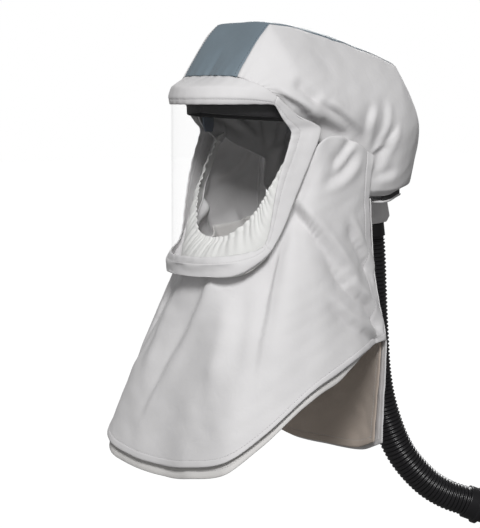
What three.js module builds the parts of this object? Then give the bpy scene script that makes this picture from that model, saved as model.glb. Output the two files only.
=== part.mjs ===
// Powered air respirator hood: a soft boxy crown with a slate centre strip, a bent clear visor in a
// cloth frame, a two-layer shoulder cape, a gathered face seal, a headband and a breathing hose.
// Millimetres, +Z up. The face looks along -Y and the wearer's left is +X.
// The origin is the middle of the headband, where the hood sits on the head.

import * as THREE from 'three';

// Driving sizes

const CLOTH = 1.5;
const SEAM_GAP = 0.3;

const VISOR_RADIUS = 84;
const VISOR_CENTRE_Y = -32;
const VISOR_SHEET = 1;
const VISOR_MARGIN = 6;
const VISOR_JAW_TURN = 2;
const VISOR_CORNER_RISE = 4;
const VISOR_FOOT_SLACK = 4;
const WINDOW_RADIUS = VISOR_RADIUS + SEAM_GAP + CLOTH;

const CROWN_START = 1.2;
const BROW_REACH = 40;
const BROW_TUCK = 2.4;
const STRIP_END = 0.34;
const HEM_TRIM = 4;

const BIB_LINING_TOP = 2.2;
const FLAP_LINING_TOP = 0.9;
const LINING_GAP_HEM = 5;
const LINING_DROP = 11;
const LINING_START = 0.4;
const LINING_HEM_INSIDE = 2;
const FLAP_LINING_SHORT = 3;

const HEADBAND_HALF_WIDTH = 77;
const HEADBAND_HALF_LENGTH = 95;
const HEADBAND_WALL = 2.5;
const TAB_WIDTH = 18;
const TAB_WALL = 2.5;
const TAB_TOP = [80.3, -22, -4];
const TAB_FOOT = [83, -18, -33];
const TAB_SLANT = 0.2;

const SEAL_WALL = 1.2;
const SEAL_GATHERS = 20;
const SEAL_RUFFLE = 1.6;

const DUCT_BAND_HEIGHT = 6;
const DUCT_BAND_INSET = 0.8;
const DUCT_BAND_TUCK = 0.6;
const DUCT_CENTRE_Y = 120;
const RIM_REACH = 8;
const FLOOR_INSET = 0.2;
const FLOOR_GAP = 0.9;
const FLOOR_FRONT_Y = 108;
const FLOOR_TAPER = 0.9;

const HOSE_DIAMETER = 38;

// Facets: steps along and across each sheet, and round each turned piece

const STEPS = {
  brow: [26, 5],
  cheek: [14, 5],
  chin: [18, 5],
  visor: [24, 5],
  strip: [20, 4],
  back: [8, 4],
  crownSide: [25, 9],
  bib: [42, 10],
  bibLining: [40, 5],
  flap: [9, 12],
  flapLining: [7, 8],
  ductBand: [20, 1],
  ductFloor: [20, 3],
  seal: [60, 3],
  headband: [40, 1],
  tab: [2, 2],
};
const SLEEVE_SIDES = 16;
const CONNECTOR_SIDES = 16;
const HOSE_SIDES = 10;
const HOSE_STEPS = 26;
const SHEET_UNIT = 60;

// Colours

const FABRIC = { color: 0xd2d1d2, roughness: 0.72, metalness: 0 };
const FABRIC_INSIDE = { color: 0x8f877d, roughness: 0.8, metalness: 0 };
const LINING = { color: 0xcdcbc9, roughness: 0.75, metalness: 0 };
const STRIP = { color: 0x768894, roughness: 0.7, metalness: 0 };
const CLEAR = { color: 0xe6edf0, roughness: 0.05, metalness: 0, transparent: true, opacity: 0.25 };
const SEAL = { color: 0xebebe9, roughness: 0.8, metalness: 0 };
const HEADBAND = { color: 0x403b42, roughness: 0.6, metalness: 0 };
const TAB = { color: 0x6a7482, roughness: 0.45, metalness: 0 };
const DARK_BAND = { color: 0x1c1b1d, roughness: 0.8, metalness: 0 };
const HOSE = { color: 0x0f0d12, roughness: 0.5, metalness: 0 };

// Tables

// Crown: a row for each section from the brow over the roof to the underside at the back.
// Ease 1 bends the cloth smoothly at that section and 0 creases it.
const CROWN_COLUMNS = ['centre', 'stripEdge', 'shoulder', 'widest', 'hem'];
const CROWN_COLUMN_EASE = [1, 0.55, 1, 1, 1];
const CROWN_SECTIONS = [
  { at: 'front base', ease: 1,
    centre: [0, -82, 33], stripEdge: [50, -81, 31],
    shoulder: [68, -73, 26], widest: [79, -64, 18], hem: [85, -50, 8] },
  { at: 'front slope', ease: 1,
    centre: [0, -57, 68], stripEdge: [49, -57, 65],
    shoulder: [74, -49, 42], widest: [90, -40, 11], hem: [85.3, -36, -4] },
  { at: 'ridge', ease: 0.3,
    centre: [0, -31, 95], stripEdge: [48, -31, 93],
    shoulder: [77, -22, 55], widest: [98, -16, 8], hem: [87, -17, -17] },
  { at: 'roof', ease: 1,
    centre: [0, 61, 87.5], stripEdge: [48, 61, 74],
    shoulder: [81, 56, 35], widest: [103, 46, -9], hem: [90.5, 31, -44] },
  { at: 'roof end', ease: 0.5,
    centre: [0, 176, 48], stripEdge: [48, 170, 45],
    shoulder: [79, 154, 14], widest: [100, 124, -30], hem: [92.5, 82, -66] },
  { at: 'back', ease: 0.9,
    centre: [0, 213, -22], stripEdge: [48, 204, -22],
    shoulder: [76, 184, -24], widest: [97, 140, -48], hem: [91.5, 80, -84] },
  { at: 'back foot', ease: 0.6,
    centre: [0, 206, -94], stripEdge: [45, 198, -95],
    shoulder: [70, 173, -97], widest: [90, 130, -102], hem: [91.5, 82, -103] },
  { at: 'underside', ease: 1,
    centre: [0, 194, -103], stripEdge: [42, 186, -104],
    shoulder: [62, 161, -106], widest: [81, 126, -110], hem: [86, 86, -110] },
];
const STRIP_EDGE_COLUMN = 1;

// Where the foot of the crown meets the brow band: a place among the crown's columns for each brow station.
const BROW_MATCHES = [
  { station: 'brow centre', column: 0 },
  { station: 'brow front', column: STRIP_EDGE_COLUMN },
  { station: 'brow corner', column: 2.4 },
  { station: 'brow end', column: 4 },
];

// Frame round the window: a row for each station from the brow, down the left side, to the chin.
// The window edge lies on the visor at an angle from straight ahead.
const FRAME_STATIONS = [
  { at: 'brow centre', ease: 1, angle: 0, z: 0,
    middle: [0, -119, 9], edge: [0, -115.5, 20], end: [0, -82.5, 32.6] },
  { at: 'brow front', ease: 1, angle: 38, z: 0,
    middle: [53.8, -100.5, 9], edge: [52, -97.5, 20], end: [49, -81.5, 30.6] },
  { at: 'brow corner', ease: 1, angle: 60, z: 0,
    middle: [76.5, -76.5, 7], edge: [76, -74, 16], end: [75.5, -67.5, 21.5] },
  { at: 'brow end', ease: 0.5, angle: 76, z: -1,
    middle: [84.6, -53, 2], edge: [85.4, -51.6, 5.5], end: [85.2, -50.2, 8.4] },
  { at: 'chamfer middle', ease: 1, angle: 84, z: -17,
    middle: [87.3, -33, -15], edge: [90, -24, -12.5], end: [88.8, -22, -14] },
  { at: 'chamfer foot', ease: 0.5, angle: 92.5, z: -33,
    middle: [90.5, -12, -30], edge: [96.5, 6, -28], end: [90, 10, -37] },
  { at: 'cheek', ease: 1, angle: 79.7, z: -89,
    middle: [88.5, -38, -92], edge: [94, -25, -97], end: [86, -20, -97] },
  { at: 'jaw', ease: 0.8, angle: 68.4, z: -160,
    middle: [83, -63, -164], edge: [85.5, -59, -167], end: [77, -54, -167] },
  { at: 'chin side', ease: 1, angle: 50, z: -171,
    middle: [69, -92, -182], edge: [66, -95, -195], end: [57, -83, -193] },
  { at: 'chin front', ease: 1, angle: 19, z: -176,
    middle: [28.5, -114.5, -187], edge: [27, -114, -199], end: [24, -100, -197] },
  { at: 'chin centre', ease: 1, angle: 0, z: -176,
    middle: [0, -118.5, -187], edge: [0, -118, -199], end: [0, -104, -197] },
];
const FRAME_COLUMN_EASE = [1, 1, 0.4, 1];
const FRAME_WRAP = 5;

// Front of the cape: a row for each station from the middle of the bib round to the back seam.
const BIB_COLUMNS = ['top', 'upper', 'lower', 'hem'];
const BIB_STATIONS = [
  { at: 'middle', ease: 1, drop: 1,
    top: [0, -103.4, -196.6], upper: [0, -113, -262],
    lower: [0, -136, -338], hem: [0, -157, -415] },
  { at: 'beside middle', ease: 1, drop: 1,
    top: [26, -98, -196.6], upper: [44, -112, -260],
    lower: [47, -137, -335], hem: [52, -160, -411] },
  { at: 'front corner', ease: 1, drop: 1,
    top: [58, -76, -194], upper: [84, -99, -256],
    lower: [99, -126, -326], hem: [111, -148, -392] },
  { at: 'beside corner', ease: 1, drop: 1,
    top: [75, -51, -167], upper: [104, -69, -240],
    lower: [121, -90, -304], hem: [135, -112, -364] },
  { at: 'front of side', ease: 1, drop: 1,
    top: [84, -16, -98], upper: [107, -34, -190],
    lower: [129, -44, -262], hem: [149, -55, -325] },
  { at: 'side', ease: 1, drop: 0.95,
    top: [97, 14, -37], upper: [106, 2, -140],
    lower: [128, -4, -230], hem: [149, -9, -304] },
  { at: 'back of side', ease: 1, drop: 0.4,
    top: [100.5, 50, -38], upper: [105, 44, -130],
    lower: [119, 42, -218], hem: [140, 38, -287] },
  { at: 'seam', ease: 1, drop: -0.2,
    top: [98, 89, -61], upper: [96, 84, -120],
    lower: [97, 92, -205], hem: [110, 99, -279] },
];

// Back of the cape: a row for each height, from under the crown to the hem.
const FLAP_COLUMNS = ['centre', 'quarter', 'edge'];
const FLAP_HEIGHTS = [
  { at: 'top', ease: 1, centre: [0, 109.5, -112.1], quarter: [62, 107.5, -117], edge: [95.5, 86.1, -112] },
  { at: 'nape', ease: 1, centre: [0, 111, -160], quarter: [63, 108, -160], edge: [95.5, 88.8, -157] },
  { at: 'back', ease: 1, centre: [0, 114, -215], quarter: [64, 111, -215], edge: [97.5, 94.2, -212] },
  { at: 'slit', ease: 1, centre: [0, 115, -280], quarter: [66, 113, -280], edge: [108.5, 101.2, -281] },
  { at: 'flap', ease: 1, centre: [0, 111, -350], quarter: [64, 109, -350], edge: [107, 99, -348] },
  { at: 'hem', ease: 1, centre: [0, 108, -421], quarter: [62, 106, -419], edge: [107, 97, -404] },
];

// Face seal: a row for each station from the temple, down the jaw, to the chin.
const SEAL_COLUMNS = ['outer', 'pouch', 'elastic'];
const SEAL_STATIONS = [
  { at: 'temple', outer: [86.5, 8.4, -36.3], pouch: [80, -4, -40], elastic: [72, -14, -46] },
  { at: 'cheek', outer: [84.2, -21.2, -96.4], pouch: [77, -38, -100], elastic: [66, -42, -92] },
  { at: 'jaw', outer: [75.2, -54.6, -164.4], pouch: [66, -64, -152], elastic: [54, -58, -126] },
  { at: 'chin side', outer: [55.4, -80.6, -191.4], pouch: [46, -84, -176], elastic: [32, -72, -149] },
  { at: 'chin front', outer: [23.2, -97.6, -195.3], pouch: [20, -96, -180], elastic: [14, -76, -155] },
  { at: 'chin centre', outer: [0, -101.6, -195.3], pouch: [0, -98, -180], elastic: [0, -77, -156] },
];

// Headband: the height of its lower and upper rim at angles round from straight ahead.
const HEADBAND_RIMS = [
  { angle: 0, low: -9, high: 22 },
  { angle: 45, low: -13, high: 22 },
  { angle: 90, low: -17, high: 20 },
  { angle: 135, low: -21, high: 14 },
  { angle: 180, low: -23, high: 10 },
];

// Hose: its run behind the cape, and the profiles of the round pieces on it.
const HOSE_TOP = [0, 175, -170];
const HOSE_RUN = [
  [0, 176, -195], [0, 177, -240], [1, 178, -289], [3, 180, -338], [8, 185, -376],
  [16, 196, -416], [26, 210, -447], [41, 235, -478], [55, 258, -495], [69, 280, -505],
];
const SLEEVE_TOP = [0, 170, -114.5];
const SLEEVE_PROFILE = [
  { down: 0, radius: 22, bore: 20 },
  { down: 14, radius: 23, bore: 21 },
  { down: 27, radius: 24.5, bore: 22 },
  { down: 32.5, radius: 21.5, bore: 18 },
];
const CUFF_PROFILE = [
  { down: 0, radius: 18.6, bore: 15.5 },
  { down: 16, radius: 19.4, bore: 15.5 },
  { down: 17, radius: 17.4, bore: 15.5 },
  { down: 20.5, radius: 17.4, bore: 15.5 },
];
const CONNECTOR_PROFILE = [
  { down: 0, radius: 21, bore: 15 },
  { down: 14, radius: 21, bore: 15 },
  { down: 14, radius: 23.5, bore: 15 },
  { down: 19, radius: 23.5, bore: 15 },
  { down: 19, radius: 20, bore: 15 },
  { down: 42, radius: 19, bore: 15 },
];

// Folds in the cloth: each follows a straight line on the left side, and the right side mirrors it.
// A height above zero is a ridge, and below zero a groove.
const CROWN_FOLDS = [
  { at: 'front of roll', from: [91, -36, 8], to: [97, 8, -17], width: 9, height: 2.5 },
  { at: 'back of roll', from: [98, 10, -18], to: [97, 60, -42], width: 9, height: 2.5 },
  { at: 'groove over front of roll', from: [93, -23, 20], to: [101, 14, -4], width: 8, height: -4 },
  { at: 'groove over back of roll', from: [101, 14, -4], to: [98, 76, -46], width: 8, height: -5 },
  { at: 'first back gather', from: [96, 92, -2], to: [97, 82, -49], width: 6, height: -3 },
  { at: 'second back gather', from: [90, 117, 3], to: [97, 99, -49], width: 6, height: -3 },
  { at: 'third back gather', from: [99, 125, -26], to: [94, 104, -79], width: 7, height: -3 },
  { at: 'back tuck', from: [93, 98, -87], to: [94, 126, -85], width: 6, height: -3 },
];
const CAPE_FOLDS = [
  { at: 'front corner ridge', from: [88, -50, -185], to: [123, -121, -355], width: 20, height: 6 },
  { at: 'hollow behind ridge', from: [106, -24, -175], to: [136, -75, -314], width: 17, height: -4 },
  { at: 'cheek fold', from: [88, -22, -120], to: [113, -3, -173], width: 10, height: -4 },
  { at: 'shoulder fold', from: [100, 58, -56], to: [101, 14, -88], width: 9, height: -3.5 },
  { at: 'upper seam fold', from: [106, 54, -156], to: [99, 86, -204], width: 10, height: -3 },
  { at: 'lower seam fold', from: [116, 24, -189], to: [104, 84, -232], width: 11, height: -3 },
  { at: 'bib fold', from: [56, -107, -254], to: [57, -148, -372], width: 14, height: 3 },
];

// Cloth surfaces

const vec = (p) => new THREE.Vector3(p[0], p[1], p[2]);
const mirrored = (p) => new THREE.Vector3(-p.x, p.y, p.z);

// Place of each point along a list, from the mean step between neighbours.
function knotsOf(lines) {
  const knots = [0];
  for (let i = 1; i < lines[0].length; i += 1) {
    const steps = lines.map((line) => line[i].distanceTo(line[i - 1]));
    const mean = steps.reduce((sum, step) => sum + step, 0) / steps.length;
    knots.push(knots[i - 1] + mean);
  }
  return knots;
}

// Point on the smooth curve through points at their knots; it runs straight on past either end.
function curve(points, knots, ease, at) {
  const last = points.length - 1;
  const slope = (k) => {
    const before = Math.max(k - 1, 0);
    const after = Math.min(k + 1, last);
    const rise = points[after].clone().sub(points[before]);
    return rise.multiplyScalar(ease[k] / (knots[after] - knots[before]));
  };
  if (at <= knots[0]) {
    return points[0].clone().addScaledVector(slope(0), at - knots[0]);
  }
  if (at >= knots[last]) {
    return points[last].clone().addScaledVector(slope(last), at - knots[last]);
  }
  let i = 0;
  while (at > knots[i + 1]) {
    i += 1;
  }
  const span = knots[i + 1] - knots[i];
  const f = (at - knots[i]) / span;
  const rest = 1 - f;
  return points[i].clone().multiplyScalar((1 + 2 * f) * rest * rest)
    .addScaledVector(slope(i), span * f * rest * rest)
    .addScaledVector(points[i + 1], f * f * (3 - 2 * f))
    .addScaledVector(slope(i + 1), -span * f * f * rest);
}

// Smooth surface through a grid of points, measured in millimetres along and across it.
function net(points, rowEase, columnEase) {
  const columns = points[0].map((_, j) => points.map((row) => row[j]));
  const along = knotsOf(columns);
  const across = knotsOf(points);
  const at = (a, b) => {
    const spine = points.map((row) => curve(row, across, columnEase, b));
    return curve(spine, along, rowEase, a);
  };
  return { along, across, at };
}

// The same row or list of eases carried over to the mirrored side of its first entry.
const bothSides = (row) => [...row.slice(1).reverse().map(mirrored), ...row];
const bothEases = (ease) => [...ease.slice(1).reverse(), ...ease];

function normalAt(surface, a, b) {
  const h = 1;
  const alongStep = surface(a + h, b).sub(surface(a - h, b));
  const acrossStep = surface(a, b + h).sub(surface(a, b - h));
  return alongStep.cross(acrossStep).normalize();
}

// How far the folds lift the cloth at a point.
function foldLift(folds, p) {
  const side = new THREE.Vector3(Math.abs(p.x), p.y, p.z);
  let lift = 0;
  for (const fold of folds) {
    const from = vec(fold.from);
    const run = vec(fold.to).sub(from);
    const share = side.clone().sub(from).dot(run) / run.lengthSq();
    const near = from.addScaledVector(run, THREE.MathUtils.clamp(share, 0, 1));
    const away = side.distanceTo(near) / fold.width;
    lift += fold.height * Math.exp(-away * away);
  }
  return lift;
}

function folded(surface, folds, outward) {
  return (a, b) => {
    const p = surface(a, b);
    return p.addScaledVector(normalAt(surface, a, b), outward * foldLift(folds, p));
  };
}

// Closed sheet of even wall on a piece of a surface; outward is the sign that turns the normal outside.
function sheet(surface, [a0, a1], [b0, b1], [aSteps, bSteps], wall, outward, closed = false) {
  const aCount = closed ? aSteps : aSteps + 1;
  const bCount = bSteps + 1;
  const positions = [];
  const inner = [];
  for (let i = 0; i < aCount; i += 1) {
    for (let j = 0; j < bCount; j += 1) {
      const a = THREE.MathUtils.lerp(a0, a1, i / aSteps);
      const b = THREE.MathUtils.lerp(b0, b1, j / bSteps);
      const p = surface(a, b);
      const n = normalAt(surface, a, b).multiplyScalar(outward);
      positions.push(p.x, p.y, p.z);
      inner.push(p.x - n.x * wall, p.y - n.y * wall, p.z - n.z * wall);
    }
  }
  positions.push(...inner);
  const under = aCount * bCount;
  const at = (i, j) => (i % aCount) * bCount + j;
  const index = [];
  const quad = (p, q, r, s) => {
    if (outward > 0) {
      index.push(p, q, r, p, r, s);
    } else {
      index.push(p, r, q, p, s, r);
    }
  };
  for (let i = 0; i < aSteps; i += 1) {
    for (let j = 0; j < bSteps; j += 1) {
      const [p, q, r, s] = [at(i, j), at(i + 1, j), at(i + 1, j + 1), at(i, j + 1)];
      quad(p, q, r, s);
      quad(s + under, r + under, q + under, p + under);
    }
    quad(at(i, 0) + under, at(i + 1, 0) + under, at(i + 1, 0), at(i, 0));
    quad(at(i, bSteps), at(i + 1, bSteps), at(i + 1, bSteps) + under, at(i, bSteps) + under);
  }
  if (!closed) {
    for (let j = 0; j < bSteps; j += 1) {
      quad(at(0, j), at(0, j + 1), at(0, j + 1) + under, at(0, j) + under);
      quad(at(aSteps, j) + under, at(aSteps, j + 1) + under, at(aSteps, j + 1), at(aSteps, j));
    }
  }
  const geometry = new THREE.BufferGeometry();
  geometry.setAttribute('position', new THREE.Float32BufferAttribute(positions, 3));
  geometry.setIndex(index);
  geometry.computeVertexNormals();
  return geometry;
}

const hood = new THREE.Group();
hood.name = 'air_respirator_hood';

function add(name, geometry, finish) {
  const mesh = new THREE.Mesh(geometry, new THREE.MeshStandardMaterial(finish));
  mesh.name = name;
  hood.add(mesh);
  return mesh;
}

// Frame round the window

const onVisor = (angle, z, radius) => {
  const turn = THREE.MathUtils.degToRad(angle);
  return new THREE.Vector3(radius * Math.sin(turn), VISOR_CENTRE_Y - radius * Math.cos(turn), z);
};

// The frame is worked out unrolled from the bend of the visor: arc length, radius and height.
function unrolled(p) {
  const [x, y] = [p[0], VISOR_CENTRE_Y - p[1]];
  return new THREE.Vector3(VISOR_RADIUS * Math.atan2(x, y), Math.hypot(x, y), p[2]);
}
function rolledUp(p) {
  return onVisor(THREE.MathUtils.radToDeg(p.x / VISOR_RADIUS), p.z, p.y);
}
const frameRow = (station) => [
  onVisor(station.angle, station.z, WINDOW_RADIUS).toArray(), station.middle, station.edge, station.end,
].map(unrolled);
const leftRows = FRAME_STATIONS.map(frameRow);
const leftEase = FRAME_STATIONS.map((station) => station.ease);
const rightRows = leftRows.slice(1, -1).reverse().map((row) => row.map(mirrored));
const rightEase = leftEase.slice(1, -1).reverse();
const wrapRows = leftRows.slice(0, FRAME_WRAP);
const wrapEase = leftEase.slice(0, FRAME_WRAP);
const frame = net([...leftRows, ...rightRows, ...wrapRows], [...leftEase, ...rightEase, ...wrapEase],
  FRAME_COLUMN_EASE);
const frameCloth = (a, b) => rolledUp(frame.at(a, b));
const stationPlace = (name) => FRAME_STATIONS.findIndex((station) => station.at === name);
const lastStation = FRAME_STATIONS.length - 1;
const leftPlace = (name) => frame.along[stationPlace(name)];
const rightPlace = (name) => frame.along[2 * lastStation - stationPlace(name)];
const wrapPlace = (name) => frame.along[2 * lastStation + stationPlace(name)];
const frameWidth = frame.across[frame.across.length - 1];

function addFramePiece(name, from, to, steps) {
  const along = [from + SEAM_GAP, to - SEAM_GAP];
  add(name, sheet(frameCloth, along, [0, frameWidth], steps, CLOTH, 1), FABRIC);
}
addFramePiece('brow_band', rightPlace('brow end'), wrapPlace('brow end'), STEPS.brow);
addFramePiece('cheek_panel_left', leftPlace('brow end'), leftPlace('jaw'), STEPS.cheek);
addFramePiece('cheek_panel_right', rightPlace('jaw'), rightPlace('brow end'), STEPS.cheek);
addFramePiece('chin_pocket', leftPlace('jaw'), rightPlace('jaw'), STEPS.chin);

// Visor, tucked under the frame by its margin

const marginTurn = THREE.MathUtils.radToDeg(VISOR_MARGIN / VISOR_RADIUS);
const station = (name) => FRAME_STATIONS[stationPlace(name)];
const visorTop = station('brow centre').z + VISOR_MARGIN;
const visorSides = [
  { z: station('chin centre').z - VISOR_MARGIN, half: station('jaw').angle },
  { z: station('jaw').z, half: station('jaw').angle + VISOR_JAW_TURN },
  { z: station('cheek').z, half: station('cheek').angle + marginTurn },
  { z: station('chamfer foot').z + VISOR_CORNER_RISE, half: station('chamfer foot').angle + marginTurn },
  { z: visorTop, half: station('brow end').angle },
];
function visorHalf(z) {
  const place = visorSides.findIndex((side) => z <= side.z);
  const upper = visorSides[Math.max(place < 0 ? visorSides.length - 1 : place, 1)];
  const lower = visorSides[visorSides.indexOf(upper) - 1];
  return THREE.MathUtils.mapLinear(z, lower.z, upper.z, lower.half, upper.half);
}
const visorRise = station('jaw').z - station('chin centre').z - VISOR_FOOT_SLACK;
function visorSurface(a, b) {
  const foot = station('chin centre').z - VISOR_MARGIN + visorRise * a * a;
  const z = THREE.MathUtils.lerp(foot, visorTop, b);
  return onVisor(a * visorHalf(z), z, VISOR_RADIUS);
}
add('visor', sheet((a, b) => visorSurface(a / SHEET_UNIT, b / SHEET_UNIT), [-SHEET_UNIT, SHEET_UNIT],
  [0, SHEET_UNIT], STEPS.visor, VISOR_SHEET, 1), CLEAR);

// Crown

const crownRow = (section) => bothSides(CROWN_COLUMNS.map((column) => vec(section[column])));
const crown = net(CROWN_SECTIONS.map(crownRow), CROWN_SECTIONS.map((section) => section.ease),
  bothEases(CROWN_COLUMN_EASE));
const crownMiddle = CROWN_COLUMNS.length - 1;

// The foot of the crown follows the top edge of the brow band, and tucks behind it beside the strip.
const browPlaces = BROW_MATCHES.map((match) => leftPlace(match.station));
const crownPlaces = BROW_MATCHES.map(({ column }) => {
  const low = crownMiddle + Math.floor(column);
  const high = Math.min(low + 1, crown.across.length - 1);
  const place = THREE.MathUtils.lerp(crown.across[low], crown.across[high], column % 1);
  return place - crown.across[crownMiddle];
});
function browEdge(b) {
  const out = b - crown.across[crownMiddle];
  const reach = Math.min(Math.abs(out), crownPlaces[crownPlaces.length - 1]);
  let i = 0;
  while (i < crownPlaces.length - 2 && reach > crownPlaces[i + 1]) {
    i += 1;
  }
  const place = THREE.MathUtils.mapLinear(reach, crownPlaces[i], crownPlaces[i + 1],
    browPlaces[i], browPlaces[i + 1]);
  const tuck = BROW_TUCK * THREE.MathUtils.smoothstep(reach, crownPlaces[1], crownPlaces[2]);
  const p = frameCloth(place, frameWidth);
  p.addScaledVector(normalAt(frameCloth, place, frameWidth), -tuck);
  return out < 0 ? mirrored(p) : p;
}
function crownSurface(a, b) {
  const p = crown.at(a, b);
  const share = THREE.MathUtils.clamp(1 - a / BROW_REACH, 0, 1);
  if (share > 0) {
    const pull = browEdge(b).sub(crown.at(0, b));
    p.addScaledVector(pull, share * share * (3 - 2 * share));
  }
  return p;
}
const crownCloth = folded(crownSurface, CROWN_FOLDS, -1);
const crownLength = crown.along[crown.along.length - 1];
const roofEnd = CROWN_SECTIONS.findIndex((section) => section.at === 'roof end');
const stripEnd = THREE.MathUtils.lerp(crown.along[roofEnd], crown.along[roofEnd + 1], STRIP_END);
const stripRight = crown.across[crownMiddle - STRIP_EDGE_COLUMN];
const stripLeft = crown.across[crownMiddle + STRIP_EDGE_COLUMN];
const leftHem = crown.across[crown.across.length - 1] - HEM_TRIM;
const stripAcross = [stripRight + SEAM_GAP, stripLeft - SEAM_GAP];
const sideAlong = [CROWN_START, crownLength];

add('crown_strip', sheet(crownCloth, [CROWN_START, stripEnd - SEAM_GAP], stripAcross, STEPS.strip, CLOTH, -1),
  STRIP);
add('crown_back', sheet(crownCloth, [stripEnd + SEAM_GAP, crownLength], stripAcross, STEPS.back, CLOTH, -1),
  FABRIC);
add('crown_left', sheet(crownCloth, sideAlong, [stripLeft + SEAM_GAP, leftHem], STEPS.crownSide, CLOTH, -1),
  FABRIC);
add('crown_right', sheet(crownCloth, sideAlong, [HEM_TRIM, stripRight - SEAM_GAP], STEPS.crownSide,
  CLOTH, -1), FABRIC);

// Cape: the bib with its sides in front, the flap behind, each with a lining that hangs a little lower

const bibRows = BIB_STATIONS.map((row) => BIB_COLUMNS.map((column) => vec(row[column])));
const bibMirror = bibRows.slice(1).reverse().map((row) => row.map(mirrored));
const bibEase = bothEases(BIB_STATIONS.map((row) => row.ease));
const bib = net([...bibMirror, ...bibRows], bibEase, BIB_COLUMNS.map(() => 1));
const bibLength = bib.along[bib.along.length - 1];
const bibDepth = bib.across[bib.across.length - 1];
const bibCloth = folded(bib.at, CAPE_FOLDS, -1);
const bibStep = bibLength / STEPS.bib[0];
add('cape_front', sheet(bibCloth, [0, bibLength], [0, bibDepth], STEPS.bib, CLOTH, -1), FABRIC);

// Share of the lining's drop at a place along the bib.
const dropPoints = bothSides(BIB_STATIONS.map((row) => new THREE.Vector3(0, row.drop, 0)));
function liningDrop(a) {
  return LINING_DROP * curve(dropPoints, bib.along, dropPoints.map(() => 1), a).y;
}
const liningGap = (share, top) => CLOTH
  + THREE.MathUtils.mapLinear(share, LINING_START, 1, top, LINING_GAP_HEM);
function bibLining(a, b) {
  const share = THREE.MathUtils.clamp(b / bibDepth, LINING_START, 1);
  const depth = b + THREE.MathUtils.mapLinear(share, LINING_START, 1, 0, liningDrop(a));
  const held = Math.min(depth, bibDepth - LINING_HEM_INSIDE);
  return bibCloth(a, depth).addScaledVector(normalAt(bibCloth, a, held), liningGap(share, BIB_LINING_TOP));
}
add('cape_front_lining', sheet(bibLining, [bibStep, bibLength - bibStep], [LINING_START * bibDepth, bibDepth],
  STEPS.bibLining, CLOTH, -1), LINING);

const flapRow = (row) => bothSides(FLAP_COLUMNS.map((column) => vec(row[column])));
const flapEase = bothEases(FLAP_COLUMNS.map(() => 1));
const flap = net(FLAP_HEIGHTS.map(flapRow), FLAP_HEIGHTS.map((row) => row.ease), flapEase);
const flapDepth = flap.along[flap.along.length - 1];
const flapWidth = flap.across[flap.across.length - 1];
add('cape_back', sheet(flap.at, [0, flapDepth], [0, flapWidth], STEPS.flap, CLOTH, -1), FABRIC);

function flapLining(a, b) {
  const share = THREE.MathUtils.clamp(a / flapDepth, LINING_START, 1);
  return flap.at(a, b).addScaledVector(normalAt(flap.at, a, b), liningGap(share, FLAP_LINING_TOP));
}
add('cape_back_lining', sheet(flapLining, [LINING_START * flapDepth, flapDepth - FLAP_LINING_SHORT],
  [LINING_GAP_HEM, flapWidth - LINING_GAP_HEM], STEPS.flapLining, CLOTH, -1), FABRIC_INSIDE);

// Underside of the crown: a dark band and a pale panel behind the neck

function underRim(b, inset) {
  const rim = crown.at(crownLength, b);
  const inward = new THREE.Vector3(-rim.x, DUCT_CENTRE_Y - rim.y, 0).normalize();
  return rim.addScaledVector(inward, inset);
}
const rimSpan = [crown.across[1] - RIM_REACH, crown.across[crown.across.length - 2] + RIM_REACH];
const bandSurface = (a, b) => underRim(a, DUCT_BAND_INSET).add(new THREE.Vector3(0, 0, -b));
function floorSurface(a, b) {
  const rim = underRim(a, FLOOR_INSET);
  const front = new THREE.Vector3(rim.x * FLOOR_TAPER, FLOOR_FRONT_Y, rim.z);
  const p = rim.lerp(front, b / SHEET_UNIT);
  p.z -= DUCT_BAND_HEIGHT + FLOOR_GAP + CLOTH;
  return p;
}
add('duct_band', sheet(bandSurface, rimSpan, [DUCT_BAND_TUCK, DUCT_BAND_HEIGHT], STEPS.ductBand, CLOTH, 1),
  DARK_BAND);
add('duct_floor', sheet(floorSurface, rimSpan, [0, SHEET_UNIT], STEPS.ductFloor, CLOTH, 1), FABRIC);

// Face seal, gathered along its elastic edge

const sealRows = SEAL_STATIONS.map((row) => SEAL_COLUMNS.map((column) => vec(row[column])));
const sealRight = sealRows.slice(0, -1).reverse().map((row) => row.map(mirrored));
const sealAll = [...sealRows, ...sealRight];
const sealNet = net(sealAll, sealAll.map(() => 1), SEAL_COLUMNS.map(() => 1));
const sealLength = sealNet.along[sealNet.along.length - 1];
const sealDepth = sealNet.across[sealNet.across.length - 1];
function sealSurface(a, b) {
  const gather = SEAL_RUFFLE * Math.sin((a / sealLength) * SEAL_GATHERS * 2 * Math.PI);
  const share = THREE.MathUtils.clamp(b / sealDepth, 0, 1);
  return sealNet.at(a, b).addScaledVector(normalAt(sealNet.at, a, b), gather * share * share);
}
add('face_seal', sheet(sealSurface, [0, sealLength], [0, sealDepth], STEPS.seal, SEAL_WALL, 1), SEAL);

// Headband and the tabs that join it to the cheek panels

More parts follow.
